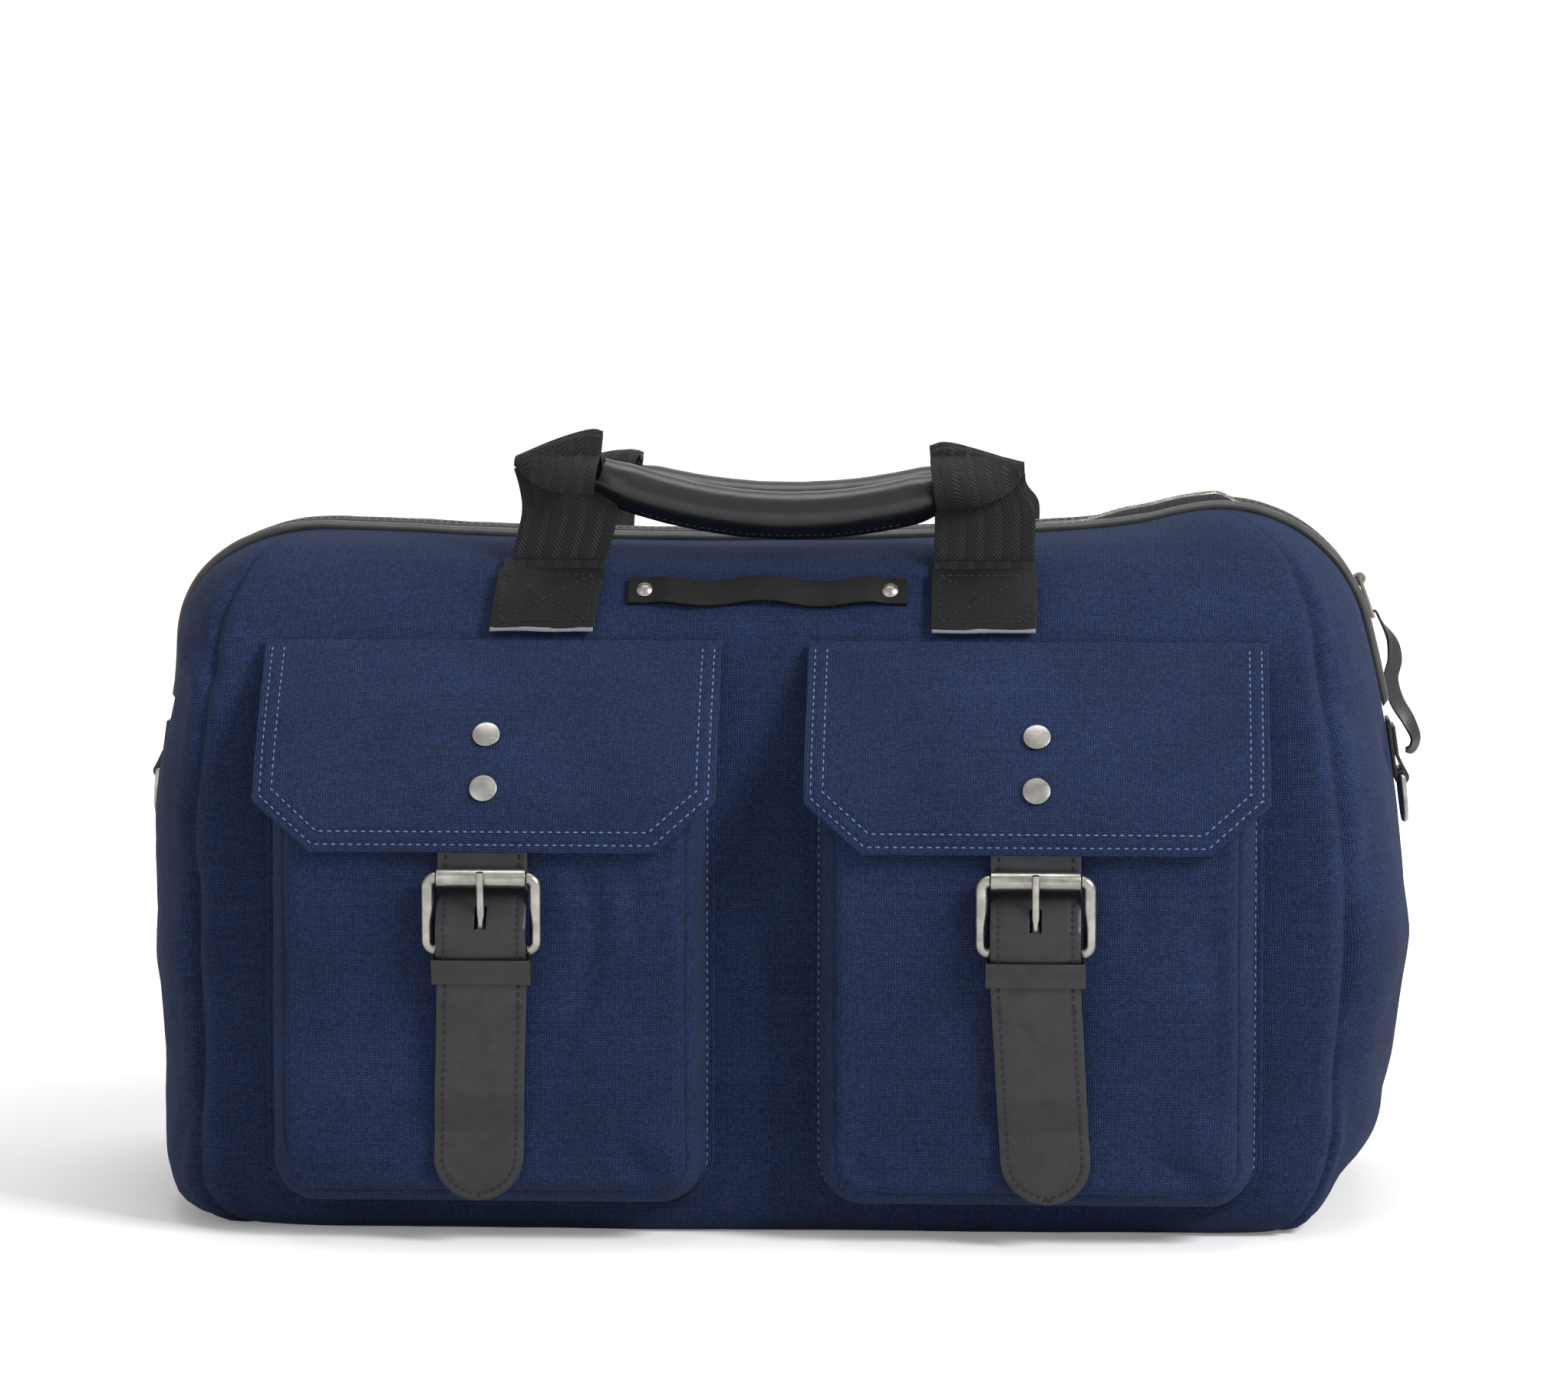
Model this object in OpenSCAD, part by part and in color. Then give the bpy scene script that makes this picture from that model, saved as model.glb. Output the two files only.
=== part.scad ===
// A canvas weekender bag: soft body with a zip over the top, two flapped front
// pockets closed by buckled straps, and two webbing handles with leather grips.
// X runs to the right, Y to the back and Z up, from the middle of the flat base.

/* [Body] */
// Width of the bag where it is widest
body_w = 514; // [470:2:580]
// Depth of the bag near its base
body_d = 240; // [220:2:280]
// Height of the top corners
body_h = 282; // [266:2:320]
// Radius of the top corners that the zip runs over
corner_r = 60; // [50:1:70]
// Radius of the bulge of each end
end_r = 550; // [480:10:640]
// Height at which the bag is widest
widest_z = 95; // [75:5:115]
// Depth of the rounded ends
end_depth = 47; // [40:1:56]
// Radius where the front and back turn into the base
base_r = 14; // [10:1:18]
// Radius where the ends turn into the base
end_foot_r = 26; // [18:1:34]
// How far the middle of the top sags
top_sag = 8; // [0:1:12]
// Half the width of the ridge along the top
ridge_half = 24; // [23:1:30]
// Thickness of the canvas
canvas_t = 2.4; // [1.8:0.2:3]
// Thickness of the lining
lining_t = 0.8; // [0.6:0.1:1.2]
// Thickness of the board in the base
board_t = 2.4; // [1.6:0.2:4]
// Clearance between layers that lie on each other
gap = 0.3; // [0.2:0.05:0.4]

/* [Zip] */
// Half the width of the slot in the canvas
slot_half = 20; // [18:0.5:22]
// Distance from tooth to tooth on one side
tooth_pitch = 3.1; // [2.8:0.1:4]
// Length of a tooth along the chain
tooth_len = 1.2; // [0.9:0.1:1.3]
// Height of a tooth
tooth_h = 2.4; // [2:0.1:2.8]
// Reach of a tooth from its cord past the middle
tooth_reach = 4.2; // [3.8:0.1:4.6]
// Height above the floor at which the left end of the chain stops
chain_end_z = 206; // [202:1:216]
// Width of the leather binding beside the chain
trim_w = 13; // [11:0.5:14]
// Thickness of the leather binding
trim_t = 2.4; // [1.6:0.2:3]
// Angle of the closed slider on the right top corner, from level
slider_angle = 28; // [24:1:34]
// Length of the slider
slider_l = 13; // [11:0.5:14]
// Length of the metal pull
pull_l = 17; // [15:0.5:20]
// Width of the leather strip on the pull
pull_strap_w = 6; // [5:0.5:8]

/* [Pockets and flaps] */
// Distance from the middle of the bag to the middle of a pocket
pocket_x = 107.5; // [104:0.5:116]
// Width of a pocket
pocket_w = 171; // [160:1:178]
// How far a pocket stands out from the body
pocket_out = 28; // [24:1:34]
// Height of the lower edge of a pocket
pocket_foot = 14; // [10:1:24]
// Radius of the lower corners of a pocket
pocket_corner_r = 18; // [12:1:24]
// Width of a flap
flap_w = 181; // [176:1:188]
// Distance from the top of the bag down to the seam of a flap
flap_drop = 49; // [46:1:56]
// Height of a flap, from its seam to its lower edge
flap_h = 78; // [72:1:84]
// Width of the cut corners of a flap
flap_cut_w = 23; // [16:1:28]
// Height of the cut corners of a flap
flap_cut_h = 19; // [12:1:24]

/* [Strap and buckle] */
// Width of the strap
strap_w = 35; // [32:0.5:36]
// Thickness of the strap
strap_t = 2.4; // [2:0.1:2.8]
// Distance from the lower edge of the flap to the roller
roller_drop = 9.7; // [8:0.1:12]
// Distance from the roller to the heel bar
buckle_l = 27.8; // [26:0.1:30]
// Width inside the buckle
buckle_in_w = 37; // [36.5:0.5:40]
// Thickness of the buckle's wire
buckle_wire = 5; // [4:0.1:5.4]
// Diameter of the roller
roller_d = 7.5; // [7:0.1:8]
// Diameter of the heel bar
heel_bar_d = 3.8; // [3.4:0.1:4.2]
// Diameter of the bar inside the roller
roller_bar_d = 3.4; // [3:0.1:3.8]
// Radial clearance of the turning pieces
run_fit = 0.06; // [0.03:0.01:0.09]
// Length of strap below the heel bar
tongue_l = 99.5; // [90:0.5:102]
// Height of the keeper loop
keeper_h = 10; // [8:0.5:12]
// Length of the tab that holds the buckle
tab_l = 57; // [52:1:62]
// Diameter of a flap rivet
rivet_d = 10.8; // [9:0.1:12]
// Diameter of the press stud's socket
stud_d = 11; // [9:0.5:13]

/* [Handles] */
// Distance from the middle of the bag to the middle of a handle's webbing
handle_x = 86; // [84:0.5:90]
// Width of the webbing
web_w = 40; // [36:0.5:40]
// Thickness of the webbing
web_t = 2.5; // [2:0.1:3]
// Distance from the top of the bag down to the fold of the webbing
handle_drop = 19; // [18:0.5:22]
// Height of the leather patches
patch_h = 22; // [18:0.5:24]
// Thickness of the leather patches
patch_t = 1.5; // [1.2:0.1:1.8]
// Height of the middle of the grip above the fold
grip_rise = 18.5; // [17:0.5:24]
// How much higher the ends of the grip are
grip_sag = 11.5; // [8:0.5:14]
// Diameter of the grip
grip_d = 17; // [15:0.5:18]
// Height of the folded ears above the fold
ear_h = 50; // [47:1:56]
// Angle at which the rear handle leans out
rear_lean = 42; // [35:1:48]

/* [Band and rings] */
// Length of the leather band between the handles
band_l = 111; // [100:1:120]
// Width of the leather band
band_w = 12.5; // [11:0.5:14]
// Thickness of the leather band
band_t = 1.6; // [1.2:0.1:2]
// Distance from the top of the bag down to the band
band_drop = 30; // [28:0.5:33]
// Distance between the band's rivets
band_rivet_gap = 97.4; // [88:0.2:98]
// Distance from the top of the bag down to the bar of each ring
ring_drop = 110; // [108:1:120]
// Width inside a ring
ring_in_w = 25; // [24:0.5:28]
// Diameter of a ring's wire
ring_wire = 3; // [2.6:0.1:3.4]
// Length of a ring's straight sides
ring_side = 4; // [2:0.5:6]
// Angle at which a ring hangs off the bag
ring_lean = 6; // [5:1:9]
// Width of the leather tab that holds a ring
ring_tab_w = 22; // [20:0.5:23]
// Length of the leather tab that holds a ring
ring_tab_l = 24; // [20:0.5:26]

/* [Hidden] */
$fn = 48;

// Colours as the photograph shows them
canvas_c = [0.15, 0.20, 0.36];
lining_c = [0.55, 0.52, 0.46];
leather_c = [0.17, 0.17, 0.18];
trim_c = [0.30, 0.30, 0.29];
web_c = [0.06, 0.07, 0.08];
metal_c = [0.72, 0.71, 0.69];

// The end's outline is an arc of end_r that runs on into the corner's arc
corner_z = body_h - corner_r;
end_tilt = asin((corner_z - widest_z) / (end_r - corner_r));
end_x = body_w / 2 - end_r;
corner_x = end_x + (end_r - corner_r) * cos(end_tilt);
side_power = 5;    // how squarely the front rises before it leans to the ridge
bulge_power = 0.7; // how squarely the ends are rounded
seam_angle = 72;   // where the end seams lie on the rounded ends
sag_from = 0.86;   // share of the height above which the top sags
shell_in = canvas_t;
lining_in = canvas_t + gap;

// Half the bag's width at height z, for a layer `in` mm inside the canvas
function half_width(z, in) =
    z > corner_z + (corner_r - in) * sin(end_tilt)
    ? corner_x + sqrt(max(0, pow(corner_r - in, 2) - pow(z - corner_z, 2)))
    : end_x + sqrt(pow(end_r - in, 2) - pow(z - widest_z, 2));

// Half the bag's depth at a share v of its height
function half_depth(v, in) =
    ridge_half + (body_d / 2 - in - ridge_half) * sqrt(max(0, 1 - pow(v, side_power)));

// How far a side that turns under with radius r has gone in at height z
function base_turn(z, r) = z < r ? r - sqrt(pow(r, 2) - pow(r - z, 2)) : 0;

// How far the top hangs down at x
function sag(x, v) =
    abs(x) < corner_x
    ? top_sag * (1 + cos(180 * x / corner_x)) / 2
      * pow(max(0, (v - sag_from) / (1 - sag_from)), 3)
    : 0;

// A point of the wall: c from 0 at the end to 1 at the front's edge and 2 at its middle
function wall_at(c, v, in, y_top = -1) =
    let (
        z = v * (body_h - in),
        b = half_depth(v, in) - base_turn(z, base_r),
        a = half_width(z, in) - base_turn(z, end_foot_r),
        e = end_depth * half_depth(v, 0) / (body_d / 2),
        t = 90 * min(c, 1),
        x = c > 1 ? (a - e) * (2 - c) : a - e + e * pow(cos(t), bulge_power),
        y = y_top < 0 ? b * pow(sin(t), bulge_power) : y_top
    ) [x, y, z - sag(x, v)];

// Where the slot's edge lies on the rounded end
function slot_c(v, in) =
    asin(pow(slot_half / (half_depth(v, in) - base_turn(v * body_h, base_r)), 1 / bulge_power)) / 90;

rows_low = [0, 0.3 * base_r / body_h, base_r / body_h, end_foot_r / body_h, 0.2, 0.34];
rows_high = [for (k = [1 : 15]) pow(sin(6 * k), 2 / side_power)];
// The panels share their rows; one lies just under the end of the zip's slot
rows = concat(
    rows_low,
    [for (v = rows_high) if (v * body_h < chain_end_z - 12) v],
    [(chain_end_z - 8) / body_h],
    [for (v = rows_high) if (v * body_h > chain_end_z) v]
);
slot_row = len([for (v = rows) if (v * body_h < chain_end_z) v]) - 1;
seam_c = seam_angle / 90;
end_steps = 5;     // points from an end's seam to the zip's slot
front_half = concat([for (k = [0 : 2]) seam_c + (1 - seam_c) * k / 3], [for (k = [0 : 4]) 1 + k / 5]);

function reversed(list) = [for (k = [len(list) - 1 : -1 : 0]) list[k]];
function flipped_x(p) = [-p[0], p[1], p[2]];
function flipped_y(p) = [p[0], -p[1], p[2]];

// One row of the front panel, from its left seam to its right seam
function front_row(v, in, y_top = -1) =
    let (half = [for (c = concat(front_half, [2])) flipped_y(wall_at(c, v, in, y_top))])
    concat([for (p = half) flipped_x(p)], [for (k = [len(half) - 2 : -1 : 0]) half[k]]);

function front_grid(in) =
    concat([for (v = rows) front_row(v, in)], [front_row(1, in, slot_half)]);

// One row of the right end panel, from its front seam to its back seam
function end_row(v, in) =
    let (
        g = slot_c(v, in),
        half = [for (k = [0 : end_steps]) wall_at(seam_c + (g - seam_c) * k / end_steps, v, in)]
    )
    concat([for (p = half) flipped_y(p)], [wall_at(0, v, in)], reversed(half));

function end_grid(in) = [for (v = rows) end_row(v, in)];

// A sheet with thickness between two grids of points, open in the cells of the slot
module sheet(outer, inner, slot = [999, 0, 0]) {
    nr = len(outer);
    nc = len(outer[0]);
    function id(i, j, side) = (side * nr + i) * nc + j;
    function solid(i, j) =
        i >= 0 && j >= 0 && i < nr - 1 && j < nc - 1
        && !(i >= slot[0] && j >= slot[1] && j < slot[2]);
    function wall(i0, j0, i1, j1) =
        [[id(i0, j0, 0), id(i1, j1, 0), id(i1, j1, 1)], [id(i0, j0, 0), id(i1, j1, 1), id(i0, j0, 1)]];
    // Left edges are split along the diagonal that the next panel's right edge has
    function left_wall(i, j) =
        [[id(i + 1, j, 0), id(i, j, 0), id(i + 1, j, 1)], [id(i, j, 0), id(i, j, 1), id(i + 1, j, 1)]];
    function quad(a, b, c, d) = [[a, b, c], [a, c, d]];
    all_points = [for (grid = [outer, inner]) for (row = grid) for (p = row) p];
    all_faces = [
        for (i = [0 : nr - 2]) for (j = [0 : nc - 2]) if (solid(i, j))
        for (f = concat(
            quad(id(i, j, 0), id(i + 1, j, 0), id(i + 1, j + 1, 0), id(i, j + 1, 0)),
            quad(id(i, j, 1), id(i, j + 1, 1), id(i + 1, j + 1, 1), id(i + 1, j, 1)),
            solid(i - 1, j) ? [] : wall(i, j, i, j + 1),
            solid(i, j - 1) ? [] : left_wall(i, j),
            solid(i + 1, j) ? [] : wall(i + 1, j + 1, i + 1, j),
            solid(i, j + 1) ? [] : wall(i, j + 1, i + 1, j + 1)
        )) f
    ];
    polyhedron(points = all_points, faces = all_faces, convexity = 6);
}

// A round of points at a share v of the height, anticlockwise from the right end
tub_c = concat([for (k = [0 : 4]) k / 4], [1.5]);
function quarter(v, in) = [for (c = tub_c) wall_at(c, v, in)];
function round_at(v, in) =
    let (q = quarter(v, in))
    concat(
        q,
        reversed([for (p = q) flipped_x(p)]),
        [for (k = [1 : len(q) - 1]) flipped_y(flipped_x(q[k]))],
        reversed([for (k = [1 : len(q) - 1]) flipped_y(q[k])])
    );

// A tub between two stacks of rounds, closed at its foot and open at its top
module tub(outer, inner) {
    nr = len(outer);
    n = len(outer[0]);
    function id(i, j, side) = (side * nr + i) * n + j % n;
    all_points = [for (stack = [outer, inner]) for (ring = stack) for (p = ring) p];
    sides = [
        for (i = [0 : nr - 2]) for (j = [0 : n - 1])
        for (f = [
            [id(i, j, 0), id(i + 1, j, 0), id(i + 1, j + 1, 0)],
            [id(i, j, 0), id(i + 1, j + 1, 0), id(i, j + 1, 0)],
            [id(i, j, 1), id(i + 1, j + 1, 1), id(i + 1, j, 1)],
            [id(i, j, 1), id(i, j + 1, 1), id(i + 1, j + 1, 1)]
        ]) f
    ];
    rim = [
        for (j = [0 : n - 1])
        for (f = [
            [id(nr - 1, j, 0), id(nr - 1, j, 1), id(nr - 1, j + 1, 1)],
            [id(nr - 1, j, 0), id(nr - 1, j + 1, 1), id(nr - 1, j + 1, 0)]
        ]) f
    ];
    feet = [
        for (j = [1 : n - 2])
        for (f = [[id(0, 0, 0), id(0, j, 0), id(0, j + 1, 0)], [id(0, 0, 1), id(0, j + 1, 1), id(0, j, 1)]]) f
    ];
    polyhedron(points = all_points, faces = concat(sides, rim, feet), convexity = 6);
}

// A flat outline [y, z] swept from x0 to x1, and an outline [x, z] swept from y0 to y1
module across(x0, x1) {
    translate([x0, 0, 0]) rotate([90, 0, 90]) linear_extrude(x1 - x0) children();
}
module through(y0, y1) {
    translate([0, y1, 0]) rotate([90, 0, 0]) linear_extrude(y1 - y0) children();
}
module on_back() {
    rotate([0, 0, 180]) children();
}
module both_sides() {
    children();
    mirror([1, 0, 0]) children();
}

// A line of [y, z] points moved outwards by a distance, for a line that runs down the front
function unit(v) = v / norm(v);
function line_normal(line, k) =
    let (d = unit(line[min(k + 1, len(line) - 1)] - line[max(k - 1, 0)])) [d[1], -d[0]];
function moved_out(line, out) = [for (k = [0 : len(line) - 1]) line[k] + out * line_normal(line, k)];
module ribbon(line, from, to) {
    polygon(concat(moved_out(line, from), reversed(moved_out(line, to))));
}

// The front of the body at x as [y, z] points between two heights, from the top down
line_steps = 7;
function front_line(z_top, z_low, x = 0) = [
    for (k = [0 : line_steps])
    let (z = z_top + (z_low - z_top) * k / line_steps) [-half_depth(z / body_h, 0), z - sag(x, z / body_h)]
];

/* Body shells */
module front_panel() {
    color(canvas_c) sheet(front_grid(0), front_grid(shell_in));
}
module back_panel() {
    color(canvas_c) on_back() sheet(front_grid(0), front_grid(shell_in));
}
module end_panel() {
    color(canvas_c) sheet(end_grid(0), end_grid(shell_in), [slot_row, end_steps, end_steps + 2]);
}
module end_panel_right() {
    end_panel();
}
module end_panel_left() {
    on_back() end_panel();
}
function base_outline(in) = [for (p = round_at(0, in)) [p[0], p[1]]];
module base_panel() {
    color(canvas_c) linear_extrude(canvas_t) polygon(base_outline(lining_in));
}
module base_board() {
    color(lining_c) translate([0, 0, canvas_t]) linear_extrude(board_t) polygon(base_outline(lining_in + lining_t + gap));
}

lining_rows = concat([0.12, 0.34], [for (k = [2 : 2 : 8]) pow(sin(9 * k), 2 / side_power)]);
lining_floor = canvas_t + board_t + gap;
lining_slack = 2.3; // how far the lining hangs clear of the canvas
function lining_round(v, in, floor_z) =
    [for (p = round_at(v, in)) [p[0], p[1], v == 0 ? floor_z : p[2]]];
module lining() {
    stack = concat([0], lining_rows);
    color(lining_c)
        tub(
            [for (v = stack) lining_round(v, lining_in + lining_slack, lining_floor)],
            [for (v = stack) lining_round(v, lining_in + lining_slack + lining_t, lining_floor + lining_t)]
        );
}

/* Zip: everything follows one line over the bag, as [x, z, angle of the outward normal] */
turn_len = corner_r * (90 - end_tilt) * PI / 180;
chain_left = corner_x + turn_len
    + end_r * (end_tilt - asin((chain_end_z - widest_z) / end_r)) * PI / 180;
slider_s = corner_x + corner_r * (90 - slider_angle) * PI / 180;
chain_right = slider_s + slider_l / 2 - 2;
function zip_at(s, out = 0) =
    let (
        d = abs(s),
        side = s < 0 ? -1 : 1,
        turn = d < corner_x ? 90 : 90 - (d - corner_x) / corner_r * 180 / PI,
        low = end_tilt - (d - corner_x - turn_len) / end_r * 180 / PI
    )
    d < corner_x
    ? [s, body_h - sag(s, 1) + out, 90 + side * atan(sag_slope(d))]
    : turn > end_tilt
    ? [side * (corner_x + (corner_r + out) * cos(turn)), corner_z + (corner_r + out) * sin(turn), 90 + side * (turn - 90)]
    : [side * (end_x + (end_r + out) * cos(low)), widest_z + (end_r + out) * sin(low), 90 + side * (low - 90)];
function sag_slope(d) = top_sag / 2 * PI / corner_x * sin(180 * d / corner_x);

tape_step = 7;
function zip_line(s0, s1, out) =
    let (n = ceil((s1 - s0) / tape_step))
    [for (k = [0 : n]) let (p = zip_at(s0 + (s1 - s0) * k / n, out)) [p[0], p[1]]];
module zip_ribbon(s0, s1, from, to) {
    polygon(concat(zip_line(s0, s1, to), reversed(zip_line(s0, s1, from))));
}
tape_t = 0.8;
cord_from = 2.6; // where the cord that carries the teeth starts
tape_end = chain_left + 2;
module zip_tape() {
    color(web_c) through(-slot_half + gap, -cord_from - 1.6) zip_ribbon(-tape_end, tape_end, -tape_t / 2, tape_t / 2);
}
module teeth(first) {
    color(metal_c) {
        through(-cord_from - 1.6, -cord_from) zip_ribbon(-chain_left, chain_right, -0.9, 0.9);
        through(-cord_from - 0.8, -cord_from - 0.8 + tooth_reach)
            for (s = [-chain_left + first : tooth_pitch : chain_right - tooth_len / 2])
                let (p = zip_at(s))
                translate([p[0], p[1]]) rotate(p[2]) square([tooth_h, tooth_len], center = true);
    }
}
module zip_stops() {
    color(metal_c)
        for (end = [[-chain_left - 1.6, 90], [chain_right + 1.6, 90]])
            let (p = zip_at(end[0]))
            through(-cord_from - 1.6, cord_from + 1.6)
                translate([p[0], p[1]]) rotate(p[2]) square([tooth_h, 2.6], center = true);
}
trim_from = slot_half + 2 - trim_w;
module zip_trim() {
    color(trim_c) through(-trim_from - trim_w, -trim_from)
        zip_ribbon(-tape_end - 2, tape_end + 2, tape_t / 2 + 0.2, tape_t / 2 + 0.2 + trim_t);
}

// The slider is a saddle over the chain; its own frame has X out of the bag and Y along the chain
module at_slider() {
    p = zip_at(slider_s);
    translate([p[0], 0, p[1]]) rotate([0, -p[2], 0]) children();
}
plate_low = tooth_h / 2 + 0.6;
plate_t = 1.2;
slider_half = cord_from + 2.6;
bail_r = 2.6;
pin_r = 1;
bail_x = plate_low + plate_t + bail_r - 0.7;
module zip_slider() {
    color(metal_c) at_slider() difference() {
        union() {
            translate([tape_t / 2 + 0.3, 0, 0]) rotate([0, 90, 0]) linear_extrude(plate_low + plate_t - tape_t / 2 - 0.3)
                polygon([
                    [-slider_l / 2, -slider_half * 0.6], [-slider_l / 4, -slider_half],
                    [slider_l / 4, -slider_half], [slider_l / 2, -slider_half * 0.75],
                    [slider_l / 2, slider_half * 0.75], [slider_l / 4, slider_half],
                    [-slider_l / 4, slider_half], [-slider_l / 2, slider_half * 0.6]
                ]);
            through(-1.1, 1.1) {
                translate([bail_x, 0]) circle(bail_r);
                translate([plate_low + 0.2, -bail_r]) square([bail_x - plate_low - 0.2, 2 * bail_r]);
            }
        }
        translate([0, -slider_half + 0.8, -slider_l]) cube([plate_low, 2 * slider_half - 1.6, 2 * slider_l]);
        through(-3, 3) translate([bail_x, 0]) circle(pin_r + run_fit);
    }
}

// The pull hangs from the slider's bail; it is drawn hanging down from its pin
pin_at = let (p = zip_at(slider_s, bail_x)) [p[0], p[1]];
pull_tilt = slider_angle - 8;
pull_t = 1.6;
pull_half = 3.2;
pull_top = 1.5;     // how far the pull runs on above its pin
window_half = 1.6;  // half the width of the window that the bail stands in
eye_half = 2.2;     // half the width of the eye that holds the strip
pull_hole_z = -pull_l + 3;
module at_pin() {
    translate([pin_at[0], 0, pin_at[1]]) rotate([0, -pull_tilt, 0]) children();
}
module zip_pull() {
    color(metal_c) at_pin() {
        difference() {
            translate([-pull_t / 2, -pull_half, -pull_l]) cube([pull_t, 2 * pull_half, pull_l + pull_top]);
            translate([-pull_t, -window_half, -bail_r - 2]) cube([2 * pull_t, 2 * window_half, 2 * bail_r + 2]);
            translate([-pull_t, -eye_half, pull_hole_z - 1]) cube([2 * pull_t, 2 * eye_half, 2.6]);
        }
        through(-pull_half, pull_half) circle(pin_r);
    }
}

// The strip is folded through the pull's hole and hangs in a slack loop
strip_t = 1.2;
strip_line = [
    [-0.2, 0.3], [1.8, 0.1], [4.2, -4.5], [8.5, -12], [9.5, -20], [8, -28], [10.5, -37],
    [15.5, -45], [18.5, -52], [17, -57], [14, -57.5]
];
module zip_pull_strap() {
    hole = [
        pin_at[0] - pull_hole_z * sin(pull_tilt), pin_at[1] + pull_hole_z * cos(pull_tilt)
    ];
    line = [for (p = strip_line) hole + p];
    neck = eye_half - 0.2;
    color(leather_c) difference() {
        through(-pull_strap_w / 2, pull_strap_w / 2)
            polygon(concat(moved_out(line, strip_t / 2), reversed(moved_out(line, -strip_t / 2))));
        for (y = [-neck - pull_strap_w, neck]) translate([hole[0] - 5, y, hole[1] - 3]) cube([10, pull_strap_w, 10]);
    }
}

/* Pockets, under flaps that drape over them */
flap_t = canvas_t;
face_y = -(body_d / 2 + pocket_out);
layer_room = strap_t + 2 * gap; // the strap lies between flap and pocket
flap_z = body_h - flap_drop;
flap_edge_z = flap_z - flap_h;
drape_top = [-half_depth(flap_z / body_h, 0) - gap, flap_z];
drape_mid = [face_y - layer_room, flap_z - 0.66 * flap_h];
drape_end = [face_y - layer_room, flap_edge_z];
function drape_at(t) = (1 - t) * (1 - t) * drape_top + 2 * t * (1 - t) * drape_mid + t * t * drape_end;
drape_steps = 10;
mouth_t = 0.4; // how far under the flap the pocket's mouth lies
function drape_line(t0, t1) =
    [for (k = [0 : drape_steps]) drape_at(t0 + (t1 - t0) * k / drape_steps)];
function drape_normal(t) =
    let (d = unit(drape_at(t + 0.01) - drape_at(t - 0.01))) [d[1], -d[0]];

pocket_turn = 10; // how far the face curls in above its lower edge
face_low = [
    [face_y, pocket_foot + pocket_turn], [face_y + 2, pocket_foot + 0.45 * pocket_turn],
    [face_y + 6, pocket_foot]
];
pocket_line = concat(moved_out(drape_line(mouth_t, 0.95), -layer_room), [[face_y, flap_edge_z]], face_low);
module pocket_outline(in) {
    w = pocket_w / 2 - in;
    r = pocket_corner_r - in;
    foot = pocket_foot + in;
    translate([-w, foot + r]) square([2 * w, flap_z]);
    translate([-w + r, foot]) square([2 * (w - r), flap_z]);
    for (x = [-w + r, w - r]) translate([x, foot + r]) circle(r);
}
gusset_t = 1.6;
module pocket_face() {
    color(canvas_c) intersection() {
        through(face_y * 2, 0) pocket_outline(0);
        across(-pocket_w, pocket_w) ribbon(pocket_line, -canvas_t, 0);
    }
}
// The gusset fills the gap between the body and the face with a U-shaped wall
module pocket_gusset() {
    mouth_z = drape_at(mouth_t)[1];
    back = moved_out(front_line(mouth_z - 4, pocket_foot - 4), gap + 0.1);
    face = moved_out(pocket_line, -canvas_t - 0.02);
    color(canvas_c) intersection() {
        through(face_y * 2, 0) difference() {
            pocket_outline(0.4);
            pocket_outline(0.4 + gusset_t);
        }
        across(-pocket_w, pocket_w) polygon(concat(back, reversed(face)));
    }
}

/* Strap, buckle and what they carry; w is the distance out from the pocket's face */
roller_z = flap_edge_z - roller_drop;
heel_z = roller_z - buckle_l;
wrap_t = 1.4;
heel_bore = heel_bar_d / 2 + 0.15;
wrap_r = heel_bore + wrap_t;
heel_w = 2.8 + wrap_r;
roller_w = gap + 0.3 + strap_t + 0.45 + roller_d / 2;
over_w = heel_w + wrap_r + gap;
under_w = 2 * gap;
tab_back_w = heel_w - wrap_r;
tab_front_w = tab_back_w + 2 * wrap_t + 0.2;
keeper_top = heel_z - 3.6;
keeper_low = keeper_top - keeper_h;
tab_low = heel_z - tab_l;
tip_z = heel_z - tongue_l;
// The strap's back, as [z, w] from its tip up to the flap's edge
strap_back = [
    [tip_z, under_w], [tab_low - 14, under_w], [tab_low - 1, tab_back_w + wrap_t + gap],
    [keeper_low - 20, tab_back_w + wrap_t + gap], [keeper_low - 6, tab_front_w + gap],
    [keeper_low + 3, tab_front_w + gap], [heel_z - 1.5, over_w + 0.2], [heel_z + 5.5, over_w + 1.4],
    [heel_z + 9, over_w + 1.7], [heel_z + 17.5, over_w - 4], [roller_z - 3.8, under_w],
    [flap_edge_z, layer_room - strap_t - gap]
];
function strap_w_at(z) = lookup(z, strap_back);
strap_from_t = 0.3;
slot_low = heel_z + 8.4;
slot_high = heel_z + 17.8;
prong_half = 1.5;
prong_loop_half = 2.5;
rivet_t = [0.38, 0.63];
module strap() {
    upper = drape_line(strap_from_t, 1);
    lower = [for (k = [len(strap_back) - 2 : -1 : 0]) [face_y - strap_back[k][1], strap_back[k][0]]];
    back = concat(moved_out(upper, -gap - strap_t), lower);
    front = concat(moved_out(upper, -gap), [for (p = lower) p - [strap_t, 0]]);
    slot_w = prong_half + 0.8;
    color(leather_c) difference() {
        intersection() {
            across(-strap_w, strap_w) polygon(concat(front, reversed(back)));
            through(face_y * 2, 0) {
                translate([-strap_w / 2, tip_z + strap_w / 2]) square([strap_w, body_h]);
                translate([0, tip_z + strap_w / 2]) circle(strap_w / 2);
            }
        }
        through(face_y * 2, 0) translate([-slot_w, slot_low]) square([2 * slot_w, slot_high - slot_low]);
        for (t = rivet_t) on_drape(t, -10) cylinder(r = rivet_shank_r + 0.1, h = 20);
    }
}
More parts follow.
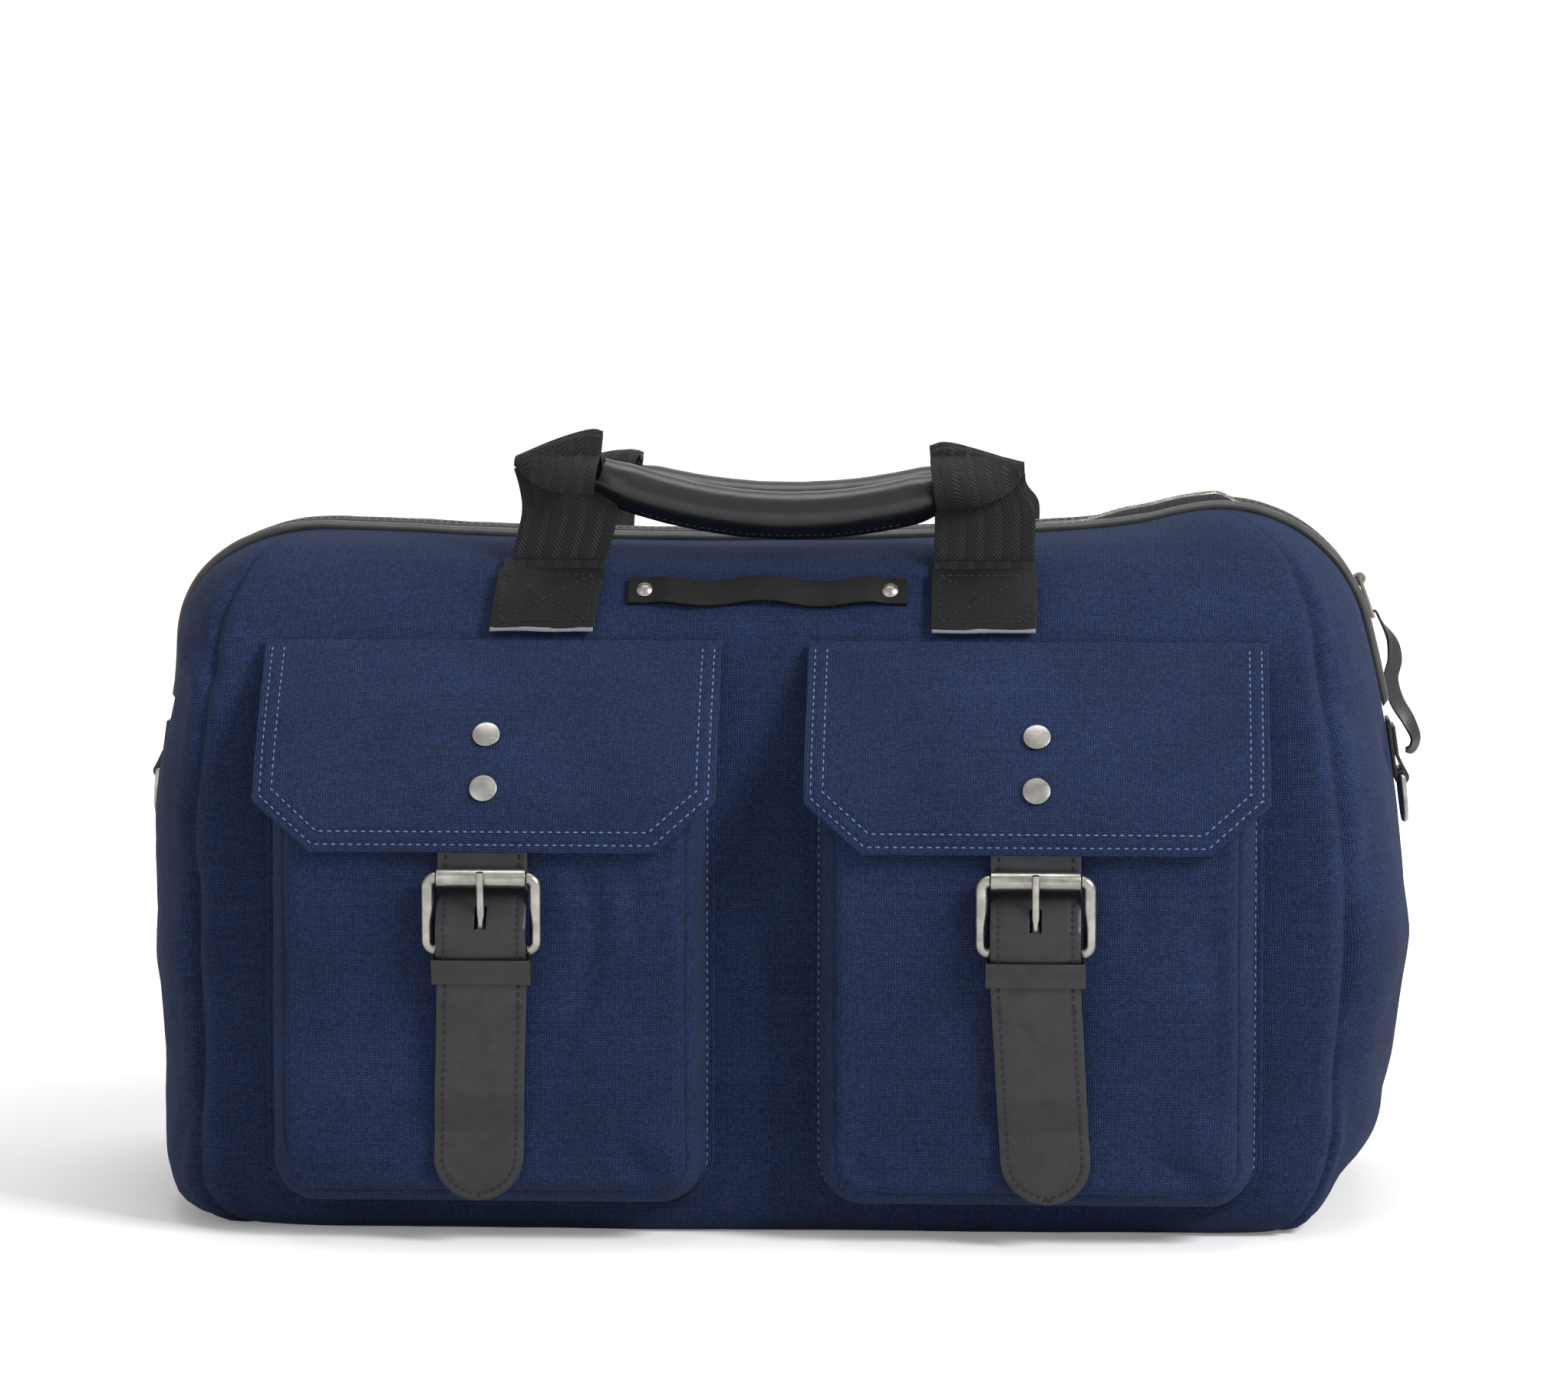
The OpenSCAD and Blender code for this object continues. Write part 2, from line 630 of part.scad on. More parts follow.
rivet_shank_r = 1.6;
rivet_head_t = 1.1;
// Puts Z on the outward normal of the drape at t, `out` mm off its back
module on_drape(t, out) {
    n = drape_normal(t);
    p = drape_at(t) + out * n;
    translate([0, p[0], p[1]]) rotate([atan2(-n[0], n[1]), 0, 0]) children();
}
module flap() {
    w = flap_w / 2;
    color(canvas_c) difference() {
        intersection() {
            across(-flap_w, flap_w) ribbon(drape_line(0, 1), 0, flap_t);
            through(face_y * 2, 0) polygon([
                [-w, flap_edge_z + flap_cut_h], [-w, body_h], [w, body_h], [w, flap_edge_z + flap_cut_h],
                [w - flap_cut_w, flap_edge_z], [-w + flap_cut_w, flap_edge_z]
            ]);
        }
        for (t = rivet_t) on_drape(t, -10) cylinder(r = rivet_shank_r + 0.1, h = 20);
    }
}
module flap_rivets() {
    shank = flap_t + gap + strap_t;
    color(metal_c) for (t = rivet_t) {
        on_drape(t, -gap - strap_t) cylinder(r = rivet_shank_r, h = shank + 0.1);
        on_drape(t, flap_t) cylinder(r = rivet_d / 2, h = rivet_head_t);
    }
}

// The buckle lies in a plane through its two bars; its own frame has Y up along the buckle
buckle_tilt = atan((roller_w - heel_w) / buckle_l);
buckle_span = norm([buckle_l, roller_w - heel_w]);
wire_r = buckle_wire / 2;
rail_x = buckle_in_w / 2 + wire_r;
bend_r = 3.3; // bend of the wire at the buckle's corners
bar_half = rail_x - bend_r;
module at_buckle() {
    translate([0, face_y - heel_w, heel_z]) rotate([90 + buckle_tilt, 0, 0]) children();
}
module along_x(r, x0, x1) {
    translate([x0, 0, 0]) rotate([0, 90, 0]) cylinder(r = r, h = x1 - x0);
}
module buckle_frame() {
    color(metal_c) at_buckle() {
        both_sides() {
            translate([rail_x, bend_r, 0]) rotate([-90, 0, 0]) cylinder(r = wire_r, h = buckle_span - 2 * bend_r);
            translate([bar_half, buckle_span - bend_r, 0]) rotate_extrude(angle = 90)
                translate([bend_r, 0]) circle(wire_r);
            translate([bar_half, bend_r, 0]) rotate([0, 0, -90]) rotate_extrude(angle = 90)
                translate([bend_r, 0]) circle(wire_r);
        }
        along_x(heel_bar_d / 2, -bar_half, bar_half);
        translate([0, buckle_span, 0]) along_x(roller_bar_d / 2, -bar_half, bar_half);
    }
}
module buckle_roller() {
    half = bar_half - 0.3;
    color(metal_c) at_buckle() translate([0, buckle_span, 0]) difference() {
        along_x(roller_d / 2, -half, half);
        along_x(roller_bar_d / 2 + run_fit, -half - 1, half + 1);
    }
}
loop_r = heel_bar_d / 2 + 1.3;
prong_from = [heel_w + loop_r - prong_half, heel_z];
prong_to = [roller_w + roller_d / 2 + 0.1 + prong_half, roller_z];
prong_dir = unit(prong_to - prong_from);
prong_len = norm(prong_to - prong_from) + 3;
module buckle_prong() {
    color(metal_c) difference() {
        union() {
            translate([0, face_y - heel_w, heel_z]) along_x(loop_r, -prong_loop_half, prong_loop_half);
            translate([0, face_y - prong_from[0], prong_from[1]])
                rotate([atan2(prong_dir[0], prong_dir[1]), 0, 0]) cylinder(r = prong_half, h = prong_len);
        }
        translate([0, face_y - heel_w, heel_z]) along_x(heel_bar_d / 2 + run_fit, -6, 6);
    }
}

// Leather folded round a bar at the origin: two legs along +Y, the back one on the -X side
module fold(bore, t, back_len, front_len, meet) {
    r = bore + t;
    lie = -r + t + 0.2;
    difference() {
        union() {
            circle(r);
            translate([-r, 0]) square([t, back_len]);
            polygon([[r, 0], [lie + t, meet], [lie + t, front_len], [lie, front_len], [lie, meet], [bore - 0.3, 0]]);
        }
        circle(bore);
    }
}
tab_meet = 9.5;  // where the tab's legs meet below the heel bar
tab_under = 9;   // how far the front leg runs on past the keeper's height
module buckle_tab() {
    color(leather_c) difference() {
        across(-strap_w / 2, strap_w / 2) translate([face_y - heel_w, heel_z]) rotate(180)
            fold(heel_bore, wrap_t, tab_l, keeper_h + tab_under, tab_meet);
        translate([-prong_loop_half - 0.4, face_y - heel_w - 20, heel_z - loop_r - 0.4])
            cube([2 * prong_loop_half + 0.8, 40, 2 * loop_r + 4]);
    }
}
keeper_t = 1.3;
keeper_half = strap_w / 2 + 0.6 + keeper_t;
module keeper() {
    steps = 4;
    levels = [for (k = [0 : steps]) keeper_top + (keeper_low - keeper_top) * k / steps];
    front_w = [for (z = levels) strap_w_at(z) + strap_t + gap];
    back_in = tab_back_w - 0.2;
    color(leather_c) difference() {
        across(-keeper_half, keeper_half) polygon(concat(
            [for (k = [0 : steps]) [face_y - front_w[k] - keeper_t, levels[k]]],
            [[face_y - back_in + keeper_t, keeper_low], [face_y - back_in + keeper_t, keeper_top]]
        ));
        across(-keeper_half + keeper_t, keeper_half - keeper_t) polygon(concat(
            [[face_y - front_w[0], keeper_top + 1]],
            [for (k = [0 : steps]) [face_y - front_w[k], levels[k]]],
            [[face_y - front_w[steps], keeper_low - 1]],
            [[face_y - back_in, keeper_low - 1], [face_y - back_in, keeper_top + 1]]
        ));
    }
}
stud_z = keeper_low - 22;
stud_nub_r = 2;
module stud_socket() {
    color(metal_c) translate([0, face_y - tab_back_w, stud_z]) rotate([-90, 0, 0]) difference() {
        cylinder(r = stud_d / 2, h = tab_back_w - 1.3);
        translate([0, 0, -1]) cylinder(r = stud_nub_r + 0.7, h = tab_back_w + 2);
    }
}
module press_stud() {
    color(metal_c) translate([0, face_y, stud_z]) rotate([90, 0, 0]) {
        cylinder(r = stud_d / 2 - 1, h = 0.6);
        cylinder(r = stud_nub_r, h = tab_back_w - 0.5);
    }
}

/* Handles: the fold of the webbing is the hinge */
fold_z = body_h - handle_drop;
fold_r = web_t / 2;
fold_line = front_line(fold_z, fold_z - 1, handle_x);
fold_at = moved_out(fold_line, gap + 0.1 + fold_r)[0];
web_half = web_w / 2;
patch_top = fold_z - 4.5;
patch_low = patch_top - patch_h;
base_top = fold_z - 3.4; // the webbing turns up out of its base above here
module at_fold(lean) {
    translate([0, fold_at[0], fold_at[1]]) rotate([lean, 0, 0]) children();
}
module handle_base() {
    line = front_line(base_top, patch_low + 1, handle_x);
    color(web_c) for (x = [-handle_x, handle_x])
        across(x - web_half, x + web_half) ribbon(line, gap + 0.1, gap + 0.1 + web_t);
}
module handle_patch() {
    line = front_line(patch_top, patch_low, handle_x);
    from = 2 * gap + 0.1 + web_t;
    color(leather_c) for (x = [-handle_x, handle_x])
        across(x - web_half - 1, x + web_half + 1) ribbon(line, from, from + patch_t);
}
grip_half = handle_x - web_half - 1;
grip_r = (grip_half * grip_half + grip_sag * grip_sag) / (2 * grip_sag);
grip_angle = asin(grip_half / grip_r);
core_d = 8;
grip_end = 2.3; // angle by which the grip stops short of the ears
module grip_arc(angle) {
    translate([0, 0, grip_rise + grip_r]) rotate([90, 0, 0]) rotate([0, 0, -90 - angle])
        rotate_extrude(angle = 2 * angle) translate([grip_r, 0]) children();
}
ear_t = 6;
module handle_webbing() {
    in = handle_x - web_half;
    out = handle_x + web_half;
    color(web_c) {
        both_sides() {
            through(-web_t / 2, web_t / 2)
                polygon([[in, 0], [out, 0], [out - 1, ear_h - 14], [in, ear_h - 3]]);
            translate([in, 0, 0]) rotate([0, 90, 0]) cylinder(r = fold_r, h = web_w);
            through(-ear_t / 2, ear_t / 2) polygon([
                [in - 3, grip_rise + 4], [in + 8, grip_rise + 6], [out - 2, ear_h - 13],
                [out - 2, ear_h - 11], [in, ear_h], [in - 3, ear_h - 4]
            ]);
        }
        grip_arc(grip_angle + 0.6) circle(d = core_d);
    }
}
module handle_grip() {
    color(leather_c) grip_arc(grip_angle - grip_end) difference() {
        circle(d = grip_d);
        circle(d = core_d + 2 * gap);
    }
}

/* Leather band with its two rivets, between the handles */
band_z = body_h - band_drop;
band_line = front_line(band_z, band_z - 1, band_rivet_gap / 2);
band_tilt = atan2(-line_normal(band_line, 0)[0], line_normal(band_line, 0)[1]) - 90;
module at_band() {
    p = moved_out(band_line, gap + 0.1)[0];
    translate([0, p[0], p[1]]) rotate([band_tilt, 0, 0]) children();
}
band_rivet_r = 3.4;
function band_wave(x) = abs(x) < band_l * 0.36 ? 1.6 * pow(cos(250 * x / band_l), 2) : 0;
module name_band() {
    steps = 24;
    xs = [for (k = [0 : steps]) -band_l / 2 + band_l * k / steps];
    color(leather_c) at_band() difference() {
        translate([0, 0, -band_w / 2]) linear_extrude(band_w) polygon(concat(
            [for (x = xs) [x, -band_wave(x)]],
            [for (k = [steps : -1 : 0]) [xs[k], -band_wave(xs[k]) - band_t]]
        ));
        for (x = [-band_rivet_gap / 2, band_rivet_gap / 2])
            translate([x, 5, 0]) rotate([90, 0, 0]) cylinder(r = 1.3, h = 20);
    }
}
module band_rivets() {
    color(metal_c) at_band() for (x = [-band_rivet_gap / 2, band_rivet_gap / 2])
        translate([x, 0.2, 0]) rotate([90, 0, 0]) {
            cylinder(r = 1.2, h = band_t + 0.4);
            translate([0, 0, band_t + 0.2]) intersection() {
                translate([0, 0, -3.4]) sphere(r = 4.9);
                cylinder(r = band_rivet_r, h = 3);
            }
        }
}

/* Rings on the ends, in folded leather tabs */
ring_z = body_h - ring_drop;
ring_r = ring_wire / 2;
ring_bore = ring_r + 0.08;
ring_tab_t = 1.5;
ring_bend = ring_in_w / 2 + ring_r;
ring_x = half_width(ring_z, 0) + gap + ring_bore + ring_tab_t;
module ring_tab() {
    color(leather_c) through(-ring_tab_w / 2, ring_tab_w / 2) translate([ring_x, ring_z]) rotate(end_lean)
        fold(ring_bore, ring_tab_t, ring_tab_l, ring_tab_l - 3, 9);
}
end_lean = asin((ring_z - widest_z) / end_r);
module d_ring() {
    color(metal_c) translate([ring_x, 0, ring_z]) rotate([0, -ring_lean, 0]) {
        rotate([90, 0, 0]) cylinder(r = ring_r, h = 2 * ring_bend, center = true);
        for (y = [-ring_bend, ring_bend]) {
            translate([0, y, 0]) sphere(r = ring_r);
            translate([0, y, -ring_side]) cylinder(r = ring_r, h = ring_side);
        }
        translate([0, 0, -ring_side]) rotate([0, 90, 0]) rotate([0, 0, -90]) rotate_extrude(angle = 180)
            translate([ring_bend, 0]) circle(ring_r);
    }
}

module left() {
    translate([-pocket_x, 0, 0]) children();
}
module right() {
    translate([pocket_x, 0, 0]) children();
}

front_panel();
back_panel();
end_panel_left();
end_panel_right();
base_panel();
base_board();
lining();
zip_tape();  // zip_tape_front
on_back() mirror([1, 0, 0]) zip_tape();  // zip_tape_back
teeth(tooth_len);  // zip_teeth_front
mirror([0, 1, 0]) teeth(tooth_len + tooth_pitch / 2);  // zip_teeth_back
zip_stops();
zip_trim();  // zip_trim_front
on_back() zip_trim();  // zip_trim_back
zip_slider();
zip_pull();
zip_pull_strap();
left() pocket_face();  // pocket_left
right() pocket_face();  // pocket_right
left() pocket_gusset();  // pocket_gusset_left
right() pocket_gusset();  // pocket_gusset_right
left() press_stud();  // press_stud_left
right() press_stud();  // press_stud_right
left() flap();  // flap_left
right() flap();  // flap_right
left() flap_rivets();  // flap_rivets_left
right() flap_rivets();  // flap_rivets_right
left() strap();  // strap_left
right() strap();  // strap_right
left() buckle_frame();  // buckle_frame_left
right() buckle_frame();  // buckle_frame_right
left() buckle_roller();  // buckle_roller_left
right() buckle_roller();  // buckle_roller_right
left() buckle_prong();  // buckle_prong_left
right() buckle_prong();  // buckle_prong_right
left() buckle_tab();  // buckle_tab_left
right() buckle_tab();  // buckle_tab_right
left() keeper();  // keeper_left
right() keeper();  // keeper_right
left() stud_socket();  // stud_socket_left
right() stud_socket();  // stud_socket_right
handle_base();  // handle_base_front
on_back() handle_base();  // handle_base_back
handle_patch();  // handle_patch_front
on_back() handle_patch();  // handle_patch_back
at_fold(0) handle_webbing();  // handle_webbing_front
on_back() at_fold(rear_lean) handle_webbing();  // handle_webbing_back
at_fold(0) handle_grip();  // handle_grip_front
on_back() at_fold(rear_lean) handle_grip();  // handle_grip_back
name_band();
band_rivets();
on_back() ring_tab();  // ring_tab_left
ring_tab();  // ring_tab_right
on_back() d_ring();  // d_ring_left
d_ring();  // d_ring_right
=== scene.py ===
"""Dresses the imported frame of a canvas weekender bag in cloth, leather, thread and metal.

Lengths are worked out in millimetres and turned into metres where a mesh is made.
X runs to the bag's right, Y to its back and Z up, from the middle of the flat base.
"""

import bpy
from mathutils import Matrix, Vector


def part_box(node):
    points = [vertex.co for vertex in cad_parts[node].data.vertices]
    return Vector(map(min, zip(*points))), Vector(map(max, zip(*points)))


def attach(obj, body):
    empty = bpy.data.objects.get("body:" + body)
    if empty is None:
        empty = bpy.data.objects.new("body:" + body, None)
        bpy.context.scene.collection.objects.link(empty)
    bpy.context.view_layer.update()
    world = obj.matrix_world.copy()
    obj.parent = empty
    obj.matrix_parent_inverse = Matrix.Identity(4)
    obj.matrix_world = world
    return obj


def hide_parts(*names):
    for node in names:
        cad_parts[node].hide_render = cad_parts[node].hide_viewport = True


bl_info = {
    "name": "Weekender Bag",
    "version": (1, 0, 0),
    "blender": (4, 5, 0),
    "location": "View3D > Sidebar > Bag",
    "description": "Builds the visible pieces of a canvas weekender bag over its frame",
    "category": "Object",
}

from bisect import bisect_left
from math import asin, atan2, cos, degrees, exp, hypot, pi, radians, sin, sqrt
from types import SimpleNamespace

import bmesh
import bpy
from bpy.props import FloatProperty, FloatVectorProperty, PointerProperty
from bpy.types import Operator, Panel, PropertyGroup
from mathutils import Matrix, Vector, noise

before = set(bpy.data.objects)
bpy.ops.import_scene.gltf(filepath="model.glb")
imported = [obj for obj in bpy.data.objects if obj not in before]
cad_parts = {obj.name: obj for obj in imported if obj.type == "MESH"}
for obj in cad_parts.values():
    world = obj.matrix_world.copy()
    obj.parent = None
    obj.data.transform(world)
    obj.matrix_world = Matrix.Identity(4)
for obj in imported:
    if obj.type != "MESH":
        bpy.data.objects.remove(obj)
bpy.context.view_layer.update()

MM = 0.001
SIDES = (("left", -1), ("right", 1))
FACES = (("front", -1), ("back", 1))

# distances in mm, angles in degrees
SAME_PLACE = 0.001
ROUNDED_FROM = 50  # an edge turned more than this gets a rounding
SHARP_FROM = 35  # the same for an edge of a carried-over solid
HEM_ROWS = (2.9, 7.6)  # how far the flap's two rows of stitches lie inside its edge
STRAP_ROW = 3.1  # how far the strap's row of stitches lies inside its edge
LEATHER_PITCH = 3.0  # distance from stitch to stitch on straps and grips
LEATHER_LONG = 2.1  # length of a stitch there
BROAD = 1.3  # how much broader the stitches there are than the fine ones
POCKET_WALL = 1.4  # thickness of a pocket's canvas
EDGE_WALL = 0.8  # thickness of a patch's cut edge
HOOD_WALL = 2.0  # thickness of the webbing where it is folded over a grip
STRIP_WALL = 1.1  # thickness of the strip on the zip's pull
GAP = 0.4  # room between the canvas and what is sewn to it


# ---------------------------------------------------------------- sizes and colours


def mm(name, default, text):
    return FloatProperty(name=name, description=text, default=default * MM, unit="LENGTH")


def turn(name, default, text):
    return FloatProperty(name=name, description=text, default=radians(default), unit="ROTATION")


def tone(name, default, text):
    """A colour property; its default is written as it is seen on a screen."""
    linear = [c / 12.92 if c <= 0.04045 else ((c + 0.055) / 1.055) ** 2.4 for c in default]
    return FloatVectorProperty(
        name=name, description=text, default=linear, subtype="COLOR", size=3, min=0, max=1
    )


class BodySizes(PropertyGroup):
    width: mm("Width", 2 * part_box("end_panel_right")[1].x / MM, "Width where the bag is widest")
    depth: mm("Depth", -2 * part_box("front_panel")[0].y / MM, "Depth near the base")
    height: mm("Height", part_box("front_panel")[1].z / MM, "Height of the top corners")
    corner_r: mm("Corner radius", 60, "Radius of the top corners that the zip runs over")
    end_r: mm("End radius", 550, "Radius of the bulge of each end")
    widest_z: mm("Widest height", 95, "Height at which the bag is widest")
    end_depth: mm("End rounding", 47, "Depth of the rounded ends")
    base_r: mm("Base radius", 14, "Radius where front and back turn into the base")
    end_foot_r: mm("End foot radius", 26, "Radius where the ends turn into the base")
    top_sag: mm("Top sag", 8, "How far the middle of the top sags")
    ridge_half: mm("Ridge half", 24, "Half the width of the ridge along the top")
    slot_half: mm("Slot half", 20, "Half the width of the slot for the zip")
    seam_turn: turn("Seam angle", 72, "Where the end seams lie on the rounded ends")
    cloth_t: mm("Canvas thickness", 2.4, "Thickness of the canvas")


class ZipSizes(PropertyGroup):
    end_z: mm("Chain end", 206, "Height at which the left end of the chain stops")
    trim_w: mm("Binding width", 13, "Width of the leather binding beside the chain")
    trim_t: mm("Binding thickness", 2.4, "Thickness of the leather binding")
    tape_t: mm("Tape thickness", 0.8, "Thickness of the zip's tape")


class PocketSizes(PropertyGroup):
    pocket_x: mm("Pocket place", 107.5, "Distance from the bag's middle to a pocket's middle")
    pocket_w: mm("Pocket width", 171, "Width of a pocket at its seam")
    pocket_out: mm("Pocket depth", 28, "How far a pocket stands out from the body")
    foot: mm("Pocket foot", 14, "Height of the lower edge of a pocket")
    corner: mm("Pocket corner", 18, "Radius of the lower corners of a pocket")
    shoulder: mm("Pocket shoulder", 11, "Width over which a pocket rises from its seam")
    flange: mm("Pocket flange", 3, "Width of the hem outside a pocket's seam")
    flap_w: mm("Flap width", 181, "Width of a flap")
    flap_drop: mm("Flap drop", 49, "Distance from the top of the bag down to a flap's seam")
    flap_h: mm("Flap height", 78, "Height of a flap")
    cut_w: mm("Cut width", 23, "Width of the cut corners of a flap")
    cut_h: mm("Cut height", 19, "Height of the cut corners of a flap")


class StrapSizes(PropertyGroup):
    strap_w: mm("Strap width", 35, "Width of the strap")
    strap_t: mm("Strap thickness", 2.4, "Thickness of the strap")
    tip: mm("Strap tip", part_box("strap_left")[0].z / MM, "Height of the strap's tip")
    heel: mm("Heel bar", 117.5, "Height of the buckle's heel bar")
    roller: mm("Roller", 145.3, "Height of the buckle's roller")
    keeper: mm("Keeper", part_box("keeper_left")[0].z / MM, "Height of the keeper's lower edge")
    left_lean: mm("Left lean", -2.4, "How far the tip of the left strap leans sideways")
    right_lean: mm("Right lean", 4.9, "How far the tip of the right strap leans sideways")


class HandleSizes(PropertyGroup):
    handle_x: mm("Handle place", 86, "Distance from the bag's middle to the webbing's middle")
    web_w: mm("Webbing width", 40, "Width of the webbing")
    web_t: mm("Webbing thickness", 2.5, "Thickness of the webbing")
    handle_drop: mm("Handle drop", 19, "Distance from the bag's top down to the webbing's fold")
    patch_h: mm("Patch height", 22, "Height of the leather patches")
    patch_t: mm("Patch thickness", 1.5, "Thickness of the leather patches")
    grip_tilt: turn("Grip tilt", 2.4, "Angle at which the front grip hangs lower on its right")
    grip_rise: mm("Grip rise", 19.6, "Height of the middle of the grip above the fold")
    grip_sag: mm("Grip sag", 11.5, "How much higher the ends of the grip are")
    grip_d: mm("Grip diameter", 17, "Diameter of the grip")
    rear_lean: turn("Rear lean", 42, "Angle at which the rear handle leans out")
    band_l: mm("Band length", 111, "Length of the leather band between the handles")
    band_w: mm("Band width", 12.5, "Width of the leather band")
    band_t: mm("Band thickness", 1.6, "Thickness of the leather band")
    band_drop: mm("Band drop", 30, "Distance from the top of the bag down to the band")


class ThreadSizes(PropertyGroup):
    pitch: mm("Stitch pitch", 3.3, "Distance from stitch to stitch on the canvas")
    long: mm("Stitch length", 2.3, "Length of a stitch on the canvas")
    wide: mm("Stitch width", 0.75, "Width of a stitch on the canvas")
    fine: mm("Leather stitch width", 0.7, "Width of a stitch on the leather")
    weave: mm("Weave pitch", 0.95, "Distance from thread to thread in the canvas")


class BagColours(PropertyGroup):
    canvas: tone("Canvas", (0.081, 0.112, 0.204), "Colour of the canvas")
    canvas_light: tone("Canvas thread", (0.19, 0.248, 0.393), "Colour of its lighter threads")
    thread: tone("Thread", (0.36, 0.43, 0.58), "Colour of the thread on the canvas")
    black_thread: tone("Dark thread", (0.018, 0.018, 0.02), "Colour of the thread on the leather")
    strap: tone("Strap leather", (0.145, 0.14, 0.15), "Colour of the straps")
    grip: tone("Grip leather", (0.045, 0.05, 0.062), "Colour of the grips and patches")
    trim: tone("Binding leather", (0.20, 0.205, 0.20), "Colour of the bindings by the zip")
    raw_edge: tone("Raw edge", (0.52, 0.51, 0.54), "Colour of the cut edges of the patches")
    webbing: tone("Webbing", (0.034, 0.038, 0.046), "Colour of the handles' webbing")
    nickel: tone("Nickel", (0.60, 0.59, 0.57), "Colour of the buckles, rings and rivets")
    zip_metal: tone("Zip metal", (0.52, 0.51, 0.48), "Colour of the zip's teeth and slider")
    lining: tone("Lining", (0.60, 0.57, 0.52), "Colour of the lining")


GROUPS = {
    "bag_body": BodySizes,
    "bag_zip": ZipSizes,
    "bag_pockets": PocketSizes,
    "bag_straps": StrapSizes,
    "bag_handles": HandleSizes,
    "bag_thread": ThreadSizes,
    "bag_colours": BagColours,
}


def sizes():
    """All sizes by name, lengths in millimetres and angles in degrees."""
    found = {}
    for key in GROUPS:
        group = getattr(bpy.context.scene, key)
        for name in GROUPS[key].__annotations__:
            unit = group.bl_rna.properties[name].unit
            value = getattr(group, name)
            found[name] = (
                value / MM if unit == "LENGTH" else degrees(value) if unit == "ROTATION" else value
            )
    return SimpleNamespace(**found)


# ---------------------------------------------------------------- the bag's surfaces


def sind(a):
    return sin(radians(a))


def cosd(a):
    return cos(radians(a))


def ease(x, low, high):
    """0 below low, 1 above high and smooth between them."""
    k = min(1, max(0, (x - low) / (high - low)))
    return k * k * (3 - 2 * k)


def table(values, x):
    """The value at x on a list of (x, value) pairs, along straight lines."""
    keys = [v[0] for v in values]
    k = min(len(values) - 1, max(1, bisect_left(keys, x)))
    (x0, y0), (x1, y1) = values[k - 1], values[k]
    f = min(1, max(0, (x - x0) / (x1 - x0)))
    return y0 + (y1 - y0) * f


def smooth_table(values, x, span):
    """The same with its corners rounded over a span."""
    return sum(table(values, x + span * k / 4) for k in range(-4, 5)) / 9


# how far the top hangs below its even line at a place along the bag
TOP_DROOP = [
    (-232, 0), (-214, 5), (-198, 8), (-180, 9.5), (-120, 10), (-60, 7), (0, 5), (60, 6),
    (120, 7), (145, 6), (160, 3), (168, 0),
]
# how far each end leans sideways at a height
LEFT_LEAN = [
    (2, -5), (15, 0), (40, 4.5), (66, 7), (91, 7), (117, 5.5), (142, 4), (155, 0), (193, 0),
    (205, 1), (218, 0), (231, -4), (256, -4), (275, -1),
]
RIGHT_LEAN = [
    (5, -6), (28, -3), (41, -2), (53, -4.5), (66, -5.5), (79, -5), (91, -3), (110, 0), (280, 0),
]


